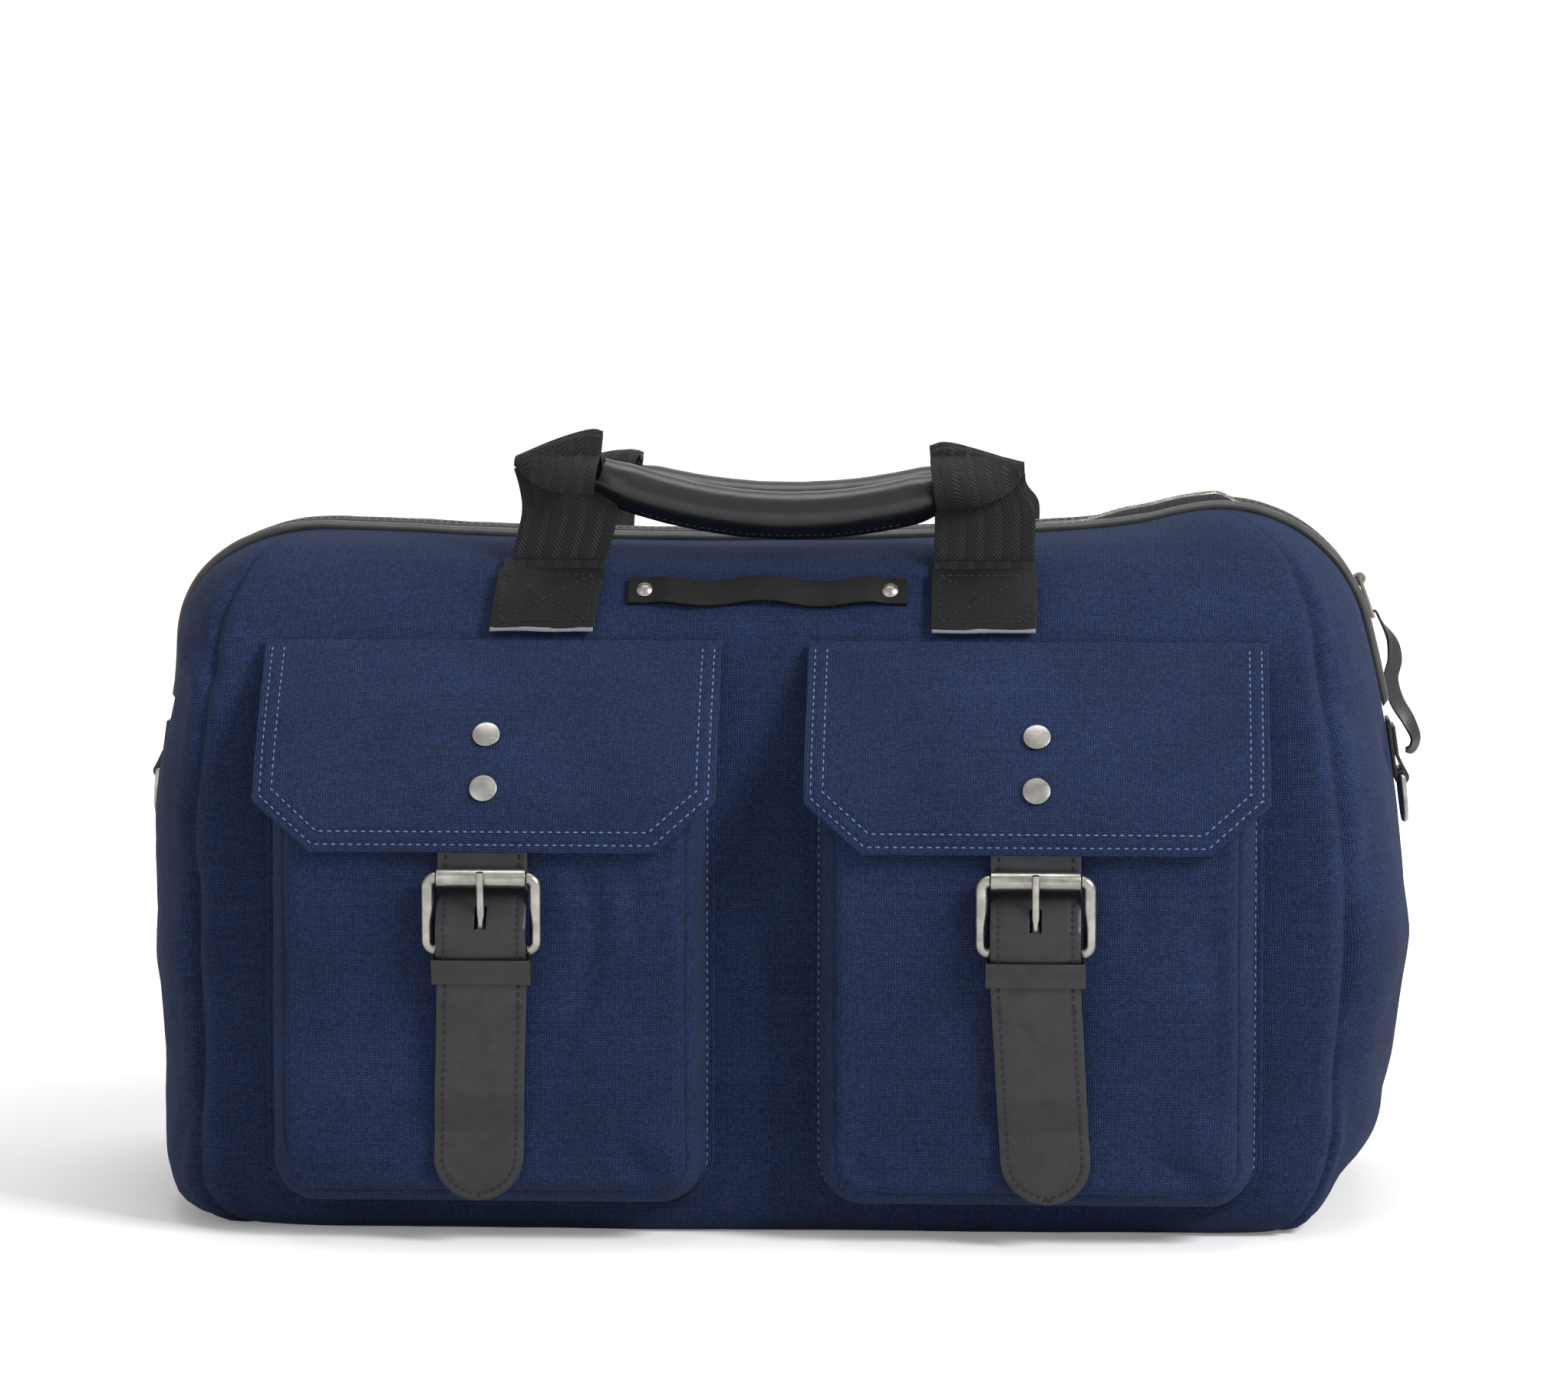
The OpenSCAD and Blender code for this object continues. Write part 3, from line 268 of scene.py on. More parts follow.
class Shape:
    """The outside of the bag and what lies on it, as points for given places."""

    def __init__(self):
        self.s = s = sizes()
        self.gap = 0.3
        self.corner_z = s.height - s.corner_r
        self.tilt = degrees(asin((self.corner_z - s.widest_z) / (s.end_r - s.corner_r)))
        self.end_x = s.width / 2 - s.end_r
        self.corner_x = self.end_x + (s.end_r - s.corner_r) * cosd(self.tilt)
        self.seam_c = s.seam_turn / 90
        self.face_y = -(s.depth / 2 + s.pocket_out)
        self.layers = s.strap_t + 2 * self.gap
        self.flap_top = s.height - s.flap_drop
        self.flap_low = self.flap_top - s.flap_h
        self.drape_ends = (
            (-self.half_depth(self.flap_top / s.height) - self.gap, self.flap_top),
            (self.face_y - self.layers, self.flap_top - 0.66 * s.flap_h),
            (self.face_y - self.layers, self.flap_low),
        )
        self.drape_rows = [self.drape(k / 60) for k in range(61)]
        turn_len = s.corner_r * radians(90 - self.tilt)
        self.turn_len = turn_len
        low_turn = degrees(asin((s.end_z - s.widest_z) / s.end_r))
        self.chain_left = self.corner_x + turn_len + s.end_r * radians(self.tilt - low_turn)

    # the body

    def half_width(self, z):
        s = self.s
        if z > self.corner_z + s.corner_r * sind(self.tilt):
            return self.corner_x + sqrt(max(0, s.corner_r**2 - (z - self.corner_z) ** 2))
        return self.end_x + sqrt(s.end_r**2 - (z - s.widest_z) ** 2)

    def half_depth(self, v):
        s = self.s
        return s.ridge_half + (s.depth / 2 - s.ridge_half) * sqrt(max(0, 1 - v**5))

    def turned(self, z, r):
        return r - sqrt(r * r - (r - z) ** 2) if z < r else 0

    def sag(self, x, v):
        if abs(x) > self.corner_x:
            return 0
        wave = (1 + cosd(180 * x / self.corner_x)) / 2
        return self.s.top_sag * wave * max(0, (v - 0.86) / 0.14) ** 3

    def wall(self, c, v, y_top=None):
        """A point of the shell: c is 0 at the end, 1 at the front's edge and 2 at its middle."""
        s = self.s
        z = v * s.height
        deep = self.half_depth(v) - self.turned(z, s.base_r)
        wide = self.half_width(z) - self.turned(z, s.end_foot_r)
        e = s.end_depth * self.half_depth(v) / (s.depth / 2)
        t = 90 * min(c, 1)
        x = (wide - e) * (2 - c) if c > 1 else wide - e + e * max(0, cosd(t)) ** 0.7
        y = deep * max(0, sind(t)) ** 0.7 if y_top is None else y_top
        return Vector((x, y, z - self.sag(x, v)))

    def settled(self, p):
        """Where a place on the even shell comes to lie as the soft bag leans and droops."""
        side = ease(abs(p.x), 195, 245)
        shift = smooth_table(LEFT_LEAN if p.x < 0 else RIGHT_LEAN, p.z, 10)
        top = (1 - ease(abs(p.y), 28, 84)) * ease(p.z, 205, 250)
        return p + Vector((shift * side, 0, -top * smooth_table(TOP_DROOP, p.x, 12)))

    def slot_c(self, v):
        deep = self.half_depth(v) - self.turned(v * self.s.height, self.s.base_r)
        return degrees(asin((self.s.slot_half / deep) ** (1 / 0.7))) / 90

    def rows(self, count):
        """Shares of the height, evenly spaced along the front's upright line."""
        fine = [0.34 * k / 120 for k in range(120)]
        fine += [v for k in range(1, 401) if (v := sind(90 * k / 400) ** 0.4) >= 0.34]
        line = [
            (self.half_depth(v) - self.turned(v * self.s.height, self.s.base_r), v * self.s.height)
            for v in fine
        ]
        run = [0]
        for a, b in zip(line, line[1:]):
            run.append(run[-1] + hypot(b[0] - a[0], b[1] - a[1]))
        pairs = list(zip(run, fine))
        return [table(pairs, run[-1] * k / count) for k in range(count + 1)]

    def front_y(self, z):
        return -(self.half_depth(z / self.s.height) - self.turned(z, self.s.base_r))

    def front_point(self, x, z, out=0.0):
        """A point on the front at height z, out mm off the canvas, with its normal."""
        a, b = self.front_y(z - 0.5), self.front_y(z + 0.5)
        normal = Vector((0, -1, b - a)).normalized()
        place = Vector((x, self.front_y(z), z - self.sag(x, z / self.s.height)))
        return place + out * normal, normal

    # the zip's line over the bag

    def chain(self, run, out=0.0):
        """(x, z) and the outward normal's angle at a run along the zip from its middle."""
        s = self.s
        d, side = abs(run), -1 if run < 0 else 1
        if d < self.corner_x:
            slope = s.top_sag / 2 * pi / self.corner_x * sind(180 * d / self.corner_x)
            tilt = degrees(atan2(slope, 1))
            return run, s.height - self.sag(run, 1) + out, 90 + side * tilt
        turned = 90 - degrees((d - self.corner_x) / s.corner_r)
        if turned > self.tilt:
            return (
                side * (self.corner_x + (s.corner_r + out) * cosd(turned)),
                self.corner_z + (s.corner_r + out) * sind(turned),
                90 + side * (turned - 90),
            )
        low = self.tilt - degrees((d - self.corner_x - self.turn_len) / s.end_r)
        return (
            side * (self.end_x + (s.end_r + out) * cosd(low)),
            s.widest_z + (s.end_r + out) * sind(low),
            90 + side * (low - 90),
        )

    def chain_point(self, run, y, out):
        x, z, _ = self.chain(run, out)
        return self.settled(Vector((x, y, z)))

    def arched(self, p):
        """Where the closed zip comes to lie, with the low arch it stands in on the right."""
        arch = 5.2 * ease(p.x, 112, 145) * (1 - ease(p.x, 178, 193)) * ease(p.z, 200, 240)
        across = min(1, abs(p.y) / self.s.slot_half)
        return self.settled(p) + Vector((0, 0, arch * (1 - across**2)))

    # the pockets and their flaps

    def drape(self, t):
        (y0, z0), (y1, z1), (y2, z2) = self.drape_ends
        f = 1 - t
        return (
            f * f * y0 + 2 * t * f * y1 + t * t * y2,
            f * f * z0 + 2 * t * f * z1 + t * t * z2,
        )

    def drape_at_z(self, z):
        rows = [(b, a) for a, b in reversed(self.drape_rows)]
        return table(rows, z)

    def flap_point(self, x, z, out=0.0):
        """A point of the flap's outer face at height z, with its normal."""
        a = Vector((self.drape_at_z(z - 0.7), z - 0.7))
        b = Vector((self.drape_at_z(z + 0.7), z + 0.7))
        d = (b - a).normalized()
        normal = Vector((0, -d[1], d[0]))
        base = Vector((x, self.drape_at_z(z), z))
        return base + (self.s.cloth_t + out) * normal, normal

    def flap_half(self, z):
        """Half the flap's width at height z, with its cut corners."""
        s = self.s
        up = z - self.flap_low
        return s.flap_w / 2 - s.cut_w * max(0, 1 - up / s.cut_h)

    def flap_edge(self, x, z):
        """How far a place on the flap lies inside its edge."""
        s = self.s
        up, side = z - self.flap_low, s.flap_w / 2 - abs(x)
        cut = (s.cut_w * (up - s.cut_h) + s.cut_h * side) / hypot(s.cut_w, s.cut_h)
        return min(side, up, cut)

    def flap_hem(self, inset):
        """The flap's edge moved in, from its top left round its foot to its top right."""
        s = self.s
        slant = hypot(s.cut_w, s.cut_h)
        side = s.flap_w / 2 - inset
        high = self.flap_low + s.cut_h + inset * (slant - s.cut_h) / s.cut_w
        foot = s.flap_w / 2 - s.cut_w - inset * (slant - s.cut_w) / s.cut_h
        half = [(side, self.flap_top - 3), (side, high), (foot, self.flap_low + inset)]
        return [(-x, z) for x, z in half] + [(x, z) for x, z in reversed(half)]

    def pocket_inside(self, x, z):
        """How far a place lies inside the pocket's seam; below 0 it is outside."""
        s = self.s
        side, up = s.pocket_w / 2 - abs(x), z - s.foot
        if side < s.corner and up < s.corner:
            return s.corner - hypot(s.corner - side, s.corner - up)
        return min(side, up)

    def pocket_front(self, z):
        """Y of the pocket's face at height z, also under the flap."""
        if z < self.flap_low + 4:
            return self.face_y
        return max(self.face_y, self.drape_at_z(z) + self.layers)

    def pocket_point(self, x, z):
        s = self.s
        inside = self.pocket_inside(x, z)
        if inside < -s.flange:
            corner = Vector((s.pocket_w / 2 - s.corner, s.foot + s.corner))
            way = Vector((abs(x), z)) - corner
            way = corner + way.normalized() * (s.corner + s.flange)
            x, z = (way.x if x > 0 else -way.x), way.y
        low = self.front_y(max(z, 0)) - 1.0
        k = min(1, max(0, inside / s.shoulder))
        rise = (1 - (1 - k) ** 2.3) ** (1 / 2.3)
        edge = 1.6 * exp(-max(0, inside - s.shoulder) / 14)
        front = self.pocket_front(z) + edge
        return Vector((x, low + (front - low) * rise, z))

    # the straps

    def strap_out(self, z):
        """How far the strap's back lies off the pocket's face at height z."""
        s = self.s
        under = 2 * self.gap
        low = s.keeper
        tab = s.heel - 57
        return smooth_table(
            [
                (s.tip, under), (tab - 14, under), (tab - 1, 4.5), (low - 20, 4.5),
                (low - 6, 6.1), (low + 3, 6.1), (s.heel - 1.5, 10.2), (s.heel + 5.5, 11.4),
                (s.heel + 9, 11.7), (s.heel + 17.5, 6.0), (s.roller - 3.8, under),
                (self.flap_low, 0.3),
            ],
            z,
            1.6,
        )

    def strap_lean(self, side, z):
        s = self.s
        lean = s.left_lean if side < 0 else s.right_lean
        return lean * max(0, s.keeper - z) / (s.keeper - s.tip)

    def strap_point(self, side, across, z, out=0.0):
        """A point of the strap's front below the flap; across runs from -1 to 1."""
        s = self.s
        half = s.strap_w / 2
        above = z - s.tip
        if above < half:
            half = sqrt(max(0, half**2 - (half - above) ** 2))
        crown = 0.5 * (1 - across * across)
        y = self.face_y - self.strap_out(z) - s.strap_t - crown + 0.5 - out
        return Vector((across * half + self.strap_lean(side, z), y, z))


# ---------------------------------------------------------------- meshes


def patch(columns, rows, place, keep=None, inside=None):
    """A grid whose corners go where place(u, v) says, in mm, with a UV map in metres."""
    bm = bmesh.new()
    bmesh.ops.create_grid(bm, x_segments=columns, y_segments=rows, size=0.5)
    grid = {}
    for vert in bm.verts:
        i, j = round((vert.co.x + 0.5) * columns), round((vert.co.y + 0.5) * rows)
        vert.co = Vector(place(i / columns, j / rows)) * MM
        grid[i, j] = vert
    cloth = {}
    for j in range(rows + 1):
        run = 0
        for i in range(columns + 1):
            if i:
                run += (grid[i, j].co - grid[i - 1, j].co).length
            cloth[i, j] = [run, 0]
        for i in range(columns + 1):
            cloth[i, j][0] -= run / 2
    for i in range(columns + 1):
        run = 0
        for j in range(rows + 1):
            if j:
                run += (grid[i, j].co - grid[i, j - 1].co).length
            cloth[i, j][1] = run
    flat = {grid[key].index: cloth[key] for key in grid}
    uv = bm.loops.layers.uv.new("cloth")
    for face in bm.faces:
        for loop in face.loops:
            loop[uv].uv = flat[loop.vert.index]
    if keep:
        gone = [f for f in bm.faces if not keep(f.calc_center_median() / MM)]
        bmesh.ops.delete(bm, geom=gone, context="FACES")
    if inside is not None:
        point_outwards(bm, Vector(inside) * MM)
    return bm


def point_outwards(bm, inside):
    """Turns an open sheet's faces away from a place inside it."""
    bm.normal_update()
    out = sum(f.normal.dot(f.calc_center_median() - inside) * f.calc_area() for f in bm.faces)
    if out < 0:
        bmesh.ops.reverse_faces(bm, faces=bm.faces)
        bm.normal_update()


def swell(bm, depth, settled=None):
    """Moves each corner along its normal by depth(place in mm), in mm."""
    bm.normal_update()
    moves = [(v, v.normal * depth(v.co / MM) * MM) for v in bm.verts]
    for vert, move in moves:
        vert.co = (settled(vert.co / MM) * MM if settled else vert.co) + move


def ridge(x, z, line, width, height):
    """Height at (x, z) of a fold along a line of places, fading at both its ends."""
    best, along, total = 1e9, 0, 0
    spans = [hypot(b[0] - a[0], b[1] - a[1]) for a, b in zip(line, line[1:])]
    for (ax, az), (bx, bz), span in zip(line, line[1:], spans):
        f = min(1, max(0, ((x - ax) * (bx - ax) + (z - az) * (bz - az)) / (span * span)))
        d = hypot(x - ax - f * (bx - ax), z - az - f * (bz - az))
        if d < best:
            best, along = d, total + f * span
        total += span
    fade = sin(pi * min(1, max(0, along / total))) ** 0.6
    return height * exp(-((best / width) ** 2)) * fade


def dent(x, z, at, size, depth):
    """A soft hollow (or a swelling, if depth is below 0) round a place."""
    return -depth * exp(-(((x - at[0]) / size[0]) ** 2) - ((z - at[1]) / size[1]) ** 2)


def ripple(place, span, seed):
    """Smooth noise from -1 to 1 with waves of about span mm."""
    return noise.noise(Vector(place) / span + Vector((seed, 2.3 * seed, 0.7 * seed)))


def add_piece(name, bm, finish, body, stands_for=(), wall=0.0, rounding=0.0):
    """Makes an object of a mesh in metres and ties it to the frame; a wall grows inwards."""
    mesh = bpy.data.meshes.new(name)
    bm.to_mesh(mesh)
    bm.free()
    mesh.shade_smooth()
    mesh.materials.append(finish)
    piece = bpy.data.objects.new(name, mesh)
    bpy.context.scene.collection.objects.link(piece)
    if wall:
        solid = piece.modifiers.new("Wall", "SOLIDIFY")
        solid.thickness = wall * MM
        solid.offset = -1
    if rounding:
        soft = piece.modifiers.new("Rounding", "BEVEL")
        soft.width = rounding * MM
        soft.segments = 2
        soft.limit_method = "ANGLE"
        soft.angle_limit = radians(ROUNDED_FROM)
    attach(piece, body)
    if stands_for:
        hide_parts(*stands_for)
    return piece


def softened(node, finish, body, rounding, moved_to=None):
    """A copy of a CAD node with merged corners and rounded edges, standing for it."""
    bm = bmesh.new()
    bm.from_mesh(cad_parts[node].data)
    bmesh.ops.remove_doubles(bm, verts=bm.verts, dist=SAME_PLACE * MM)
    bmesh.ops.dissolve_limit(
        bm, angle_limit=radians(1), verts=bm.verts, edges=bm.edges, use_dissolve_boundaries=False
    )
    sharp = [
        e for e in bm.edges
        if len(e.link_faces) == 2 and e.calc_face_angle(0) > radians(SHARP_FROM)
    ]
    if rounding:
        bmesh.ops.bevel(
            bm, geom=sharp, offset=rounding * MM, offset_type="OFFSET", segments=2,
            profile=0.5, affect="EDGES", clamp_overlap=True, material=-1,
        )
    if moved_to:
        for vert in bm.verts:
            vert.co = moved_to(vert.co / MM) * MM
    return add_piece(node + "_soft", bm, finish, body, [node])


def resample(line, pitch):
    """Middles and directions of stitches spaced along a line of points."""
    run = [0]
    for a, b in zip(line, line[1:]):
        run.append(run[-1] + (b - a).length)
    count = max(1, int(run[-1] / pitch))
    found = []
    for k in range(count):
        at = (k + 0.5) * run[-1] / count
        i = min(len(line) - 2, max(0, bisect_left(run, at) - 1))
        f = (at - run[i]) / max(1e-9, run[i + 1] - run[i])
        found.append((line[i].lerp(line[i + 1], f), (line[i + 1] - line[i]).normalized(), i, f))
    return found


def sew(bm, line, normals, pitch, long, wide):
    """Adds a row of small stitches along a line of places in mm."""
    for middle, way, i, f in resample(line, pitch):
        up = normals[i].lerp(normals[i + 1], f).normalized()
        side = up.cross(way).normalized()
        up = way.cross(side)
        turn_to = Matrix((way, side, up)).transposed().to_4x4()
        shape = Matrix.Diagonal((long / 2 * MM, wide / 2 * MM, wide * 0.42 * MM, 1))
        bmesh.ops.create_icosphere(
            bm, subdivisions=1, radius=1,
            matrix=Matrix.Translation(middle * MM) @ turn_to @ shape,
        )


def dense(corners, step=1.5):
    """Places along a bent line, every step mm."""
    found = []
    for (ax, az), (bx, bz) in zip(corners, corners[1:]):
        n = max(1, round(hypot(bx - ax, bz - az) / step))
        found += [(ax + (bx - ax) * k / n, az + (bz - az) * k / n) for k in range(n)]
    return found + [corners[-1]]


# ---------------------------------------------------------------- finishes


class Wires:
    """Short calls that add shader nodes to a tree and join them."""

    def __init__(self, tree):
        self.tree = tree

    def add(self, kind, inputs=(), **settings):
        node = self.tree.nodes.new(kind)
        for key, value in settings.items():
            setattr(node, key, value)
        for key, value in dict(inputs).items():
            self.put(node.inputs[key], value)
        return node

    def put(self, socket, value):
        if isinstance(value, bpy.types.NodeSocket):
            self.tree.links.new(value, socket)
        else:
            socket.default_value = value

    def math(self, operation, a, b=0.0):
        node = self.add("ShaderNodeMath", operation=operation)
        for socket, value in zip(node.inputs, (a, b)):
            self.put(socket, value)
        return node.outputs[0]

    def blend(self, share, a, b):
        node = self.add("ShaderNodeMix", data_type="RGBA")
        for socket, value in ((node.inputs[0], share), (node.inputs[6], a), (node.inputs[7], b)):
            self.put(socket, value)
        return node.outputs[2]

    def noise(self, place, scale, detail=2.0, roughness=0.5):
        node = self.add(
            "ShaderNodeTexNoise",
            {"Vector": place, "Scale": scale, "Detail": detail, "Roughness": roughness},
        )
        return node.outputs[0]

    def fit(self, value, low, high, to_low=0.0, to_high=1.0):
        node = self.add(
            "ShaderNodeMapRange",
            {
                "Value": value, "From Min": low, "From Max": high,
                "To Min": to_low, "To Max": to_high,
            },
        )
        return node.outputs[0]


def node_group(name, inputs, outputs, build):
    """A shader group, built once; build gets its wires and its inputs and returns its outputs."""
    found = bpy.data.node_groups.get(name)
    if found:
        return found
    tree = bpy.data.node_groups.new(name, "ShaderNodeTree")
    for key, kind, value in inputs:
        socket = tree.interface.new_socket(key, in_out="INPUT", socket_type=kind)
        if value is not None:
            socket.default_value = value
    for key, kind in outputs:
        tree.interface.new_socket(key, in_out="OUTPUT", socket_type=kind)
    wires = Wires(tree)
    start, end = wires.add("NodeGroupInput"), wires.add("NodeGroupOutput")
    for key, value in build(wires, start.outputs).items():
        wires.put(end.inputs[key], value)
    return tree


def plain_weave():
    """Threads over and under each other, each a little lighter or darker, with painted shade where
    they dip and a painted highlight on their crowns.
    """

    def build(w, given):
        wobble = w.noise(given["Surface"], 90, 2)
        scaled = w.add(
            "ShaderNodeVectorMath",
            {"Vector": given["Surface"], "Scale": w.math("DIVIDE", 1, given["Pitch"])},
            operation="SCALE",
        ).outputs[0]
        parts = w.add("ShaderNodeSeparateXYZ", {"Vector": scaled}).outputs
        shift = w.fit(wobble, 0, 1, -0.9, 0.9)
        across, along = w.math("ADD", parts[0], shift), w.math("ADD", parts[1], shift)
        crown_x = w.math("ABSOLUTE", w.math("SINE", w.math("MULTIPLY", across, pi)))
        crown_y = w.math("ABSOLUTE", w.math("SINE", w.math("MULTIPLY", along, pi)))
        cell_x, cell_y = w.math("FLOOR", across), w.math("FLOOR", along)
        odd = w.math("MODULO", w.math("ABSOLUTE", w.math("ADD", cell_x, cell_y)), 2)
        over_x = w.math("MULTIPLY", crown_x, w.fit(crown_y, 0, 1, 0.35, 1))
        over_y = w.math("MULTIPLY", crown_y, w.fit(crown_x, 0, 1, 0.35, 1))
        height = w.math(
            "ADD", w.math("MULTIPLY", odd, over_x),
            w.math("MULTIPLY", w.math("SUBTRACT", 1, odd), over_y),
        )
        cell = w.add("ShaderNodeCombineXYZ", {"X": cell_x, "Y": cell_y}).outputs[0]
        speck = w.add("ShaderNodeTexWhiteNoise", {"Vector": cell}, noise_dimensions="2D").outputs[0]
        slub = w.add("ShaderNodeTexWhiteNoise", {"W": cell_y}, noise_dimensions="1D").outputs[0]
        light = w.math("ADD", w.math("MULTIPLY", speck, 0.5), w.math("MULTIPLY", slub, 0.12))
        # Shade is each thread's own random tone times its height: painted shade in the dips and a
        # painted highlight on the crowns
        shade = w.math("MULTIPLY", height, w.math("ADD", light, 0.3))
        return {"Height": height, "Shade": shade}

    return node_group(
        "Plain Weave",
        [("Surface", "NodeSocketVector", None), ("Pitch", "NodeSocketFloat", 0.001)],
        [("Height", "NodeSocketFloat"), ("Shade", "NodeSocketFloat")],
        build,
    )


def herringbone():
    """Slanting ribs that turn back at even distances across a webbing."""

    def build(w, given):
        parts = w.add("ShaderNodeSeparateXYZ", {"Vector": given["Surface"]}).outputs
        across = w.math("DIVIDE", parts[0], given["Stripe"])
        zigzag = w.math("ABSOLUTE", w.math("SUBTRACT", w.math("FRACT", across), 0.5))
        slant = w.math(
            "ADD", w.math("DIVIDE", parts[1], given["Pitch"]), w.math("MULTIPLY", zigzag, 5.0)
        )
        rib = w.math("ABSOLUTE", w.math("SINE", w.math("MULTIPLY", slant, pi)))
        spine = w.fit(zigzag, 0.0, 0.06, 0.35, 1)
        turn_back = w.fit(zigzag, 0.44, 0.5, 1, 0.35)
        height = w.math("MULTIPLY", rib, w.math("MULTIPLY", spine, turn_back))
        return {"Height": height}

    return node_group(
        "Herringbone",
        [
            ("Surface", "NodeSocketVector", None),
            ("Pitch", "NodeSocketFloat", 0.0016),
            ("Stripe", "NodeSocketFloat", 0.006),
        ],
        [("Height", "NodeSocketFloat")],
        build,
    )


def leather_grain():
    """Fine pebbles, long soft creases and a mottled tone."""

    def build(w, given):
        place = given["Place"]
        pebble = w.add(
            "ShaderNodeTexVoronoi", {"Vector": place, "Scale": given["Grain"]}
        ).outputs[0]
        soft = w.noise(place, 130, 4, 0.6)
        stretched = w.add(
            "ShaderNodeMapping",
            {"Vector": place, "Rotation": (0.3, 0.5, 0.6), "Scale": (1, 1, 0.25)},
        ).outputs[0]
        lines = w.noise(stretched, 110, 3, 0.6)
        crease = w.fit(w.math("ABSOLUTE", w.math("SUBTRACT", lines, 0.5)), 0.0, 0.02, 0, 1)
        height = w.math(
            "ADD", w.math("MULTIPLY", w.fit(pebble, 0, 0.6), 0.3),
            w.math("ADD", w.math("MULTIPLY", soft, 0.7), w.math("MULTIPLY", crease, 0.08)),
        )
        return {"Height": height, "Mottle": soft, "Crease": crease}

    return node_group(
        "Leather Grain",
        [("Place", "NodeSocketVector", None), ("Grain", "NodeSocketFloat", 1400.0)],
        [(key, "NodeSocketFloat") for key in ("Height", "Mottle", "Crease")],
        build,
    )


def brushed():
    """Short scratches along one direction, with cloudy handling marks."""

    def build(w, given):
        along = w.add(
            "ShaderNodeMapping", {"Vector": given["Place"], "Scale": (0.12, 1, 1)}
        ).outputs[0]
        scratch = w.noise(along, 1600, 3, 0.7)
        cloud = w.noise(given["Place"], 160, 3)
        return {"Height": scratch, "Cloud": cloud}

    return node_group(
        "Brushed Metal",
        [("Place", "NodeSocketVector", None)],
        [("Height", "NodeSocketFloat"), ("Cloud", "NodeSocketFloat")],
        build,
    )


def start_finish(name):
    """A new material with its wires, its shader and object places."""
    material = bpy.data.materials.new(name)
    material.use_nodes = True
    wires = Wires(material.node_tree)
    shader = material.node_tree.nodes["Principled BSDF"]
    place = wires.add("ShaderNodeTexCoord").outputs["Object"]
    return material, wires, shader, place


def use_group(wires, tree, inputs):
    """Places a shader group in a material with its own values."""
    node = wires.add("ShaderNodeGroup", node_tree=tree)
    for key, value in inputs.items():
        wires.put(node.inputs[key], value)
    return node.outputs


def rgba(colour, factor=1.0):
    """A colour made lighter or darker, with an alpha of 1."""
    return tuple(min(1, c * factor) for c in colour) + (1,)


def bump(wires, shader, height, distance, strength=1.0):
    node = wires.add(
        "ShaderNodeBump", {"Height": height, "Distance": distance, "Strength": strength}
    )
    wires.put(shader.inputs["Normal"], node.outputs[0])


def canvas_finish(name, colours, pitch, dark=1.0):
    """Matte woven cotton with lighter and darker threads and painted shade between them; dark below
    1 darkens it all over as painted shade.
    """
    material, w, shader, place = start_finish(name)
    surface = w.add("ShaderNodeUVMap", uv_map="cloth").outputs[0]
    weave = use_group(w, plain_weave(), {"Surface": surface, "Pitch": pitch})
    cloud = w.fit(w.noise(place, 22, 3), 0.3, 0.7, 0.86, 1.12)
    # dark below 1 darkens both thread colours evenly: painted shade on a copy of the canvas
    dark_thread, light_thread = rgba(colours.canvas, dark), rgba(colours.canvas_light, dark)
    # the colour follows Shade: painted shade in the weave's dips, painted highlight on its crowns
    base = w.blend(w.fit(weave["Shade"], 0.05, 0.8), dark_thread, light_thread)
    tint = w.add("ShaderNodeHueSaturation", {"Value": cloud, "Color": base}).outputs[0]
    w.put(shader.inputs["Base Color"], tint)
    w.put(shader.inputs["Roughness"], w.fit(weave["Height"], 0, 1, 0.95, 0.78))
    shader.inputs["Specular IOR Level"].default_value = 0.1
    shader.inputs["Sheen Weight"].default_value = 0.02
    soft = w.noise(place, 260, 2)
    height = w.math("ADD", weave["Height"], w.math("MULTIPLY", soft, 0.6))
    bump(w, shader, height, 0.00035, 0.8)
    return material


def leather_finish(name, colour, rough, coat, grain, lift=1.0, shine=0.3):
    """Mottled, creased leather with painted shade along its creases; lift makes its colour lighter,
    and a coat polishes it.
    """
    material, w, shader, place = start_finish(name)
    skin = use_group(w, leather_grain(), {"Place": place, "Grain": grain})
    tone_share = w.fit(skin["Mottle"], 0.3, 0.7)
    base = w.blend(tone_share, rgba(colour, 0.82 * lift), rgba(colour, 1.2 * lift))
    # the fine creases are painted darker: painted shade in their hollows
    crease_shade = w.fit(skin["Crease"], 0, 1, 0.35, 0)
    base = w.blend(crease_shade, base, rgba(colour, 0.6))
    w.put(shader.inputs["Base Color"], base)
    w.put(shader.inputs["Roughness"], w.fit(skin["Mottle"], 0.3, 0.7, rough + 0.08, rough - 0.06))
    shader.inputs["Specular IOR Level"].default_value = shine
    shader.inputs["Coat Weight"].default_value = coat
    shader.inputs["Coat Roughness"].default_value = 0.25
    bump(w, shader, skin["Height"], 0.0002, 0.7)
    return material


def webbing_finish(name, colour, pitch, stripe):
    """Herringbone webbing whose ribs catch the light."""
    material, w, shader, place = start_finish(name)
    surface = w.add("ShaderNodeUVMap", uv_map="cloth").outputs[0]
    rib = use_group(w, herringbone(), {"Surface": surface, "Pitch": pitch, "Stripe": stripe})
    fuzz = w.noise(place, 900, 2)
    share = w.math("MULTIPLY", rib["Height"], w.fit(fuzz, 0.3, 0.7, 0.5, 1))
    w.put(shader.inputs["Base Color"], w.blend(share, rgba(colour, 0.2), rgba(colour, 2.6)))
    w.put(shader.inputs["Roughness"], w.fit(share, 0, 1, 0.9, 0.62))
    shader.inputs["Specular IOR Level"].default_value = 0.35
    bump(w, shader, rib["Height"], 0.0005, 0.9)
    return material


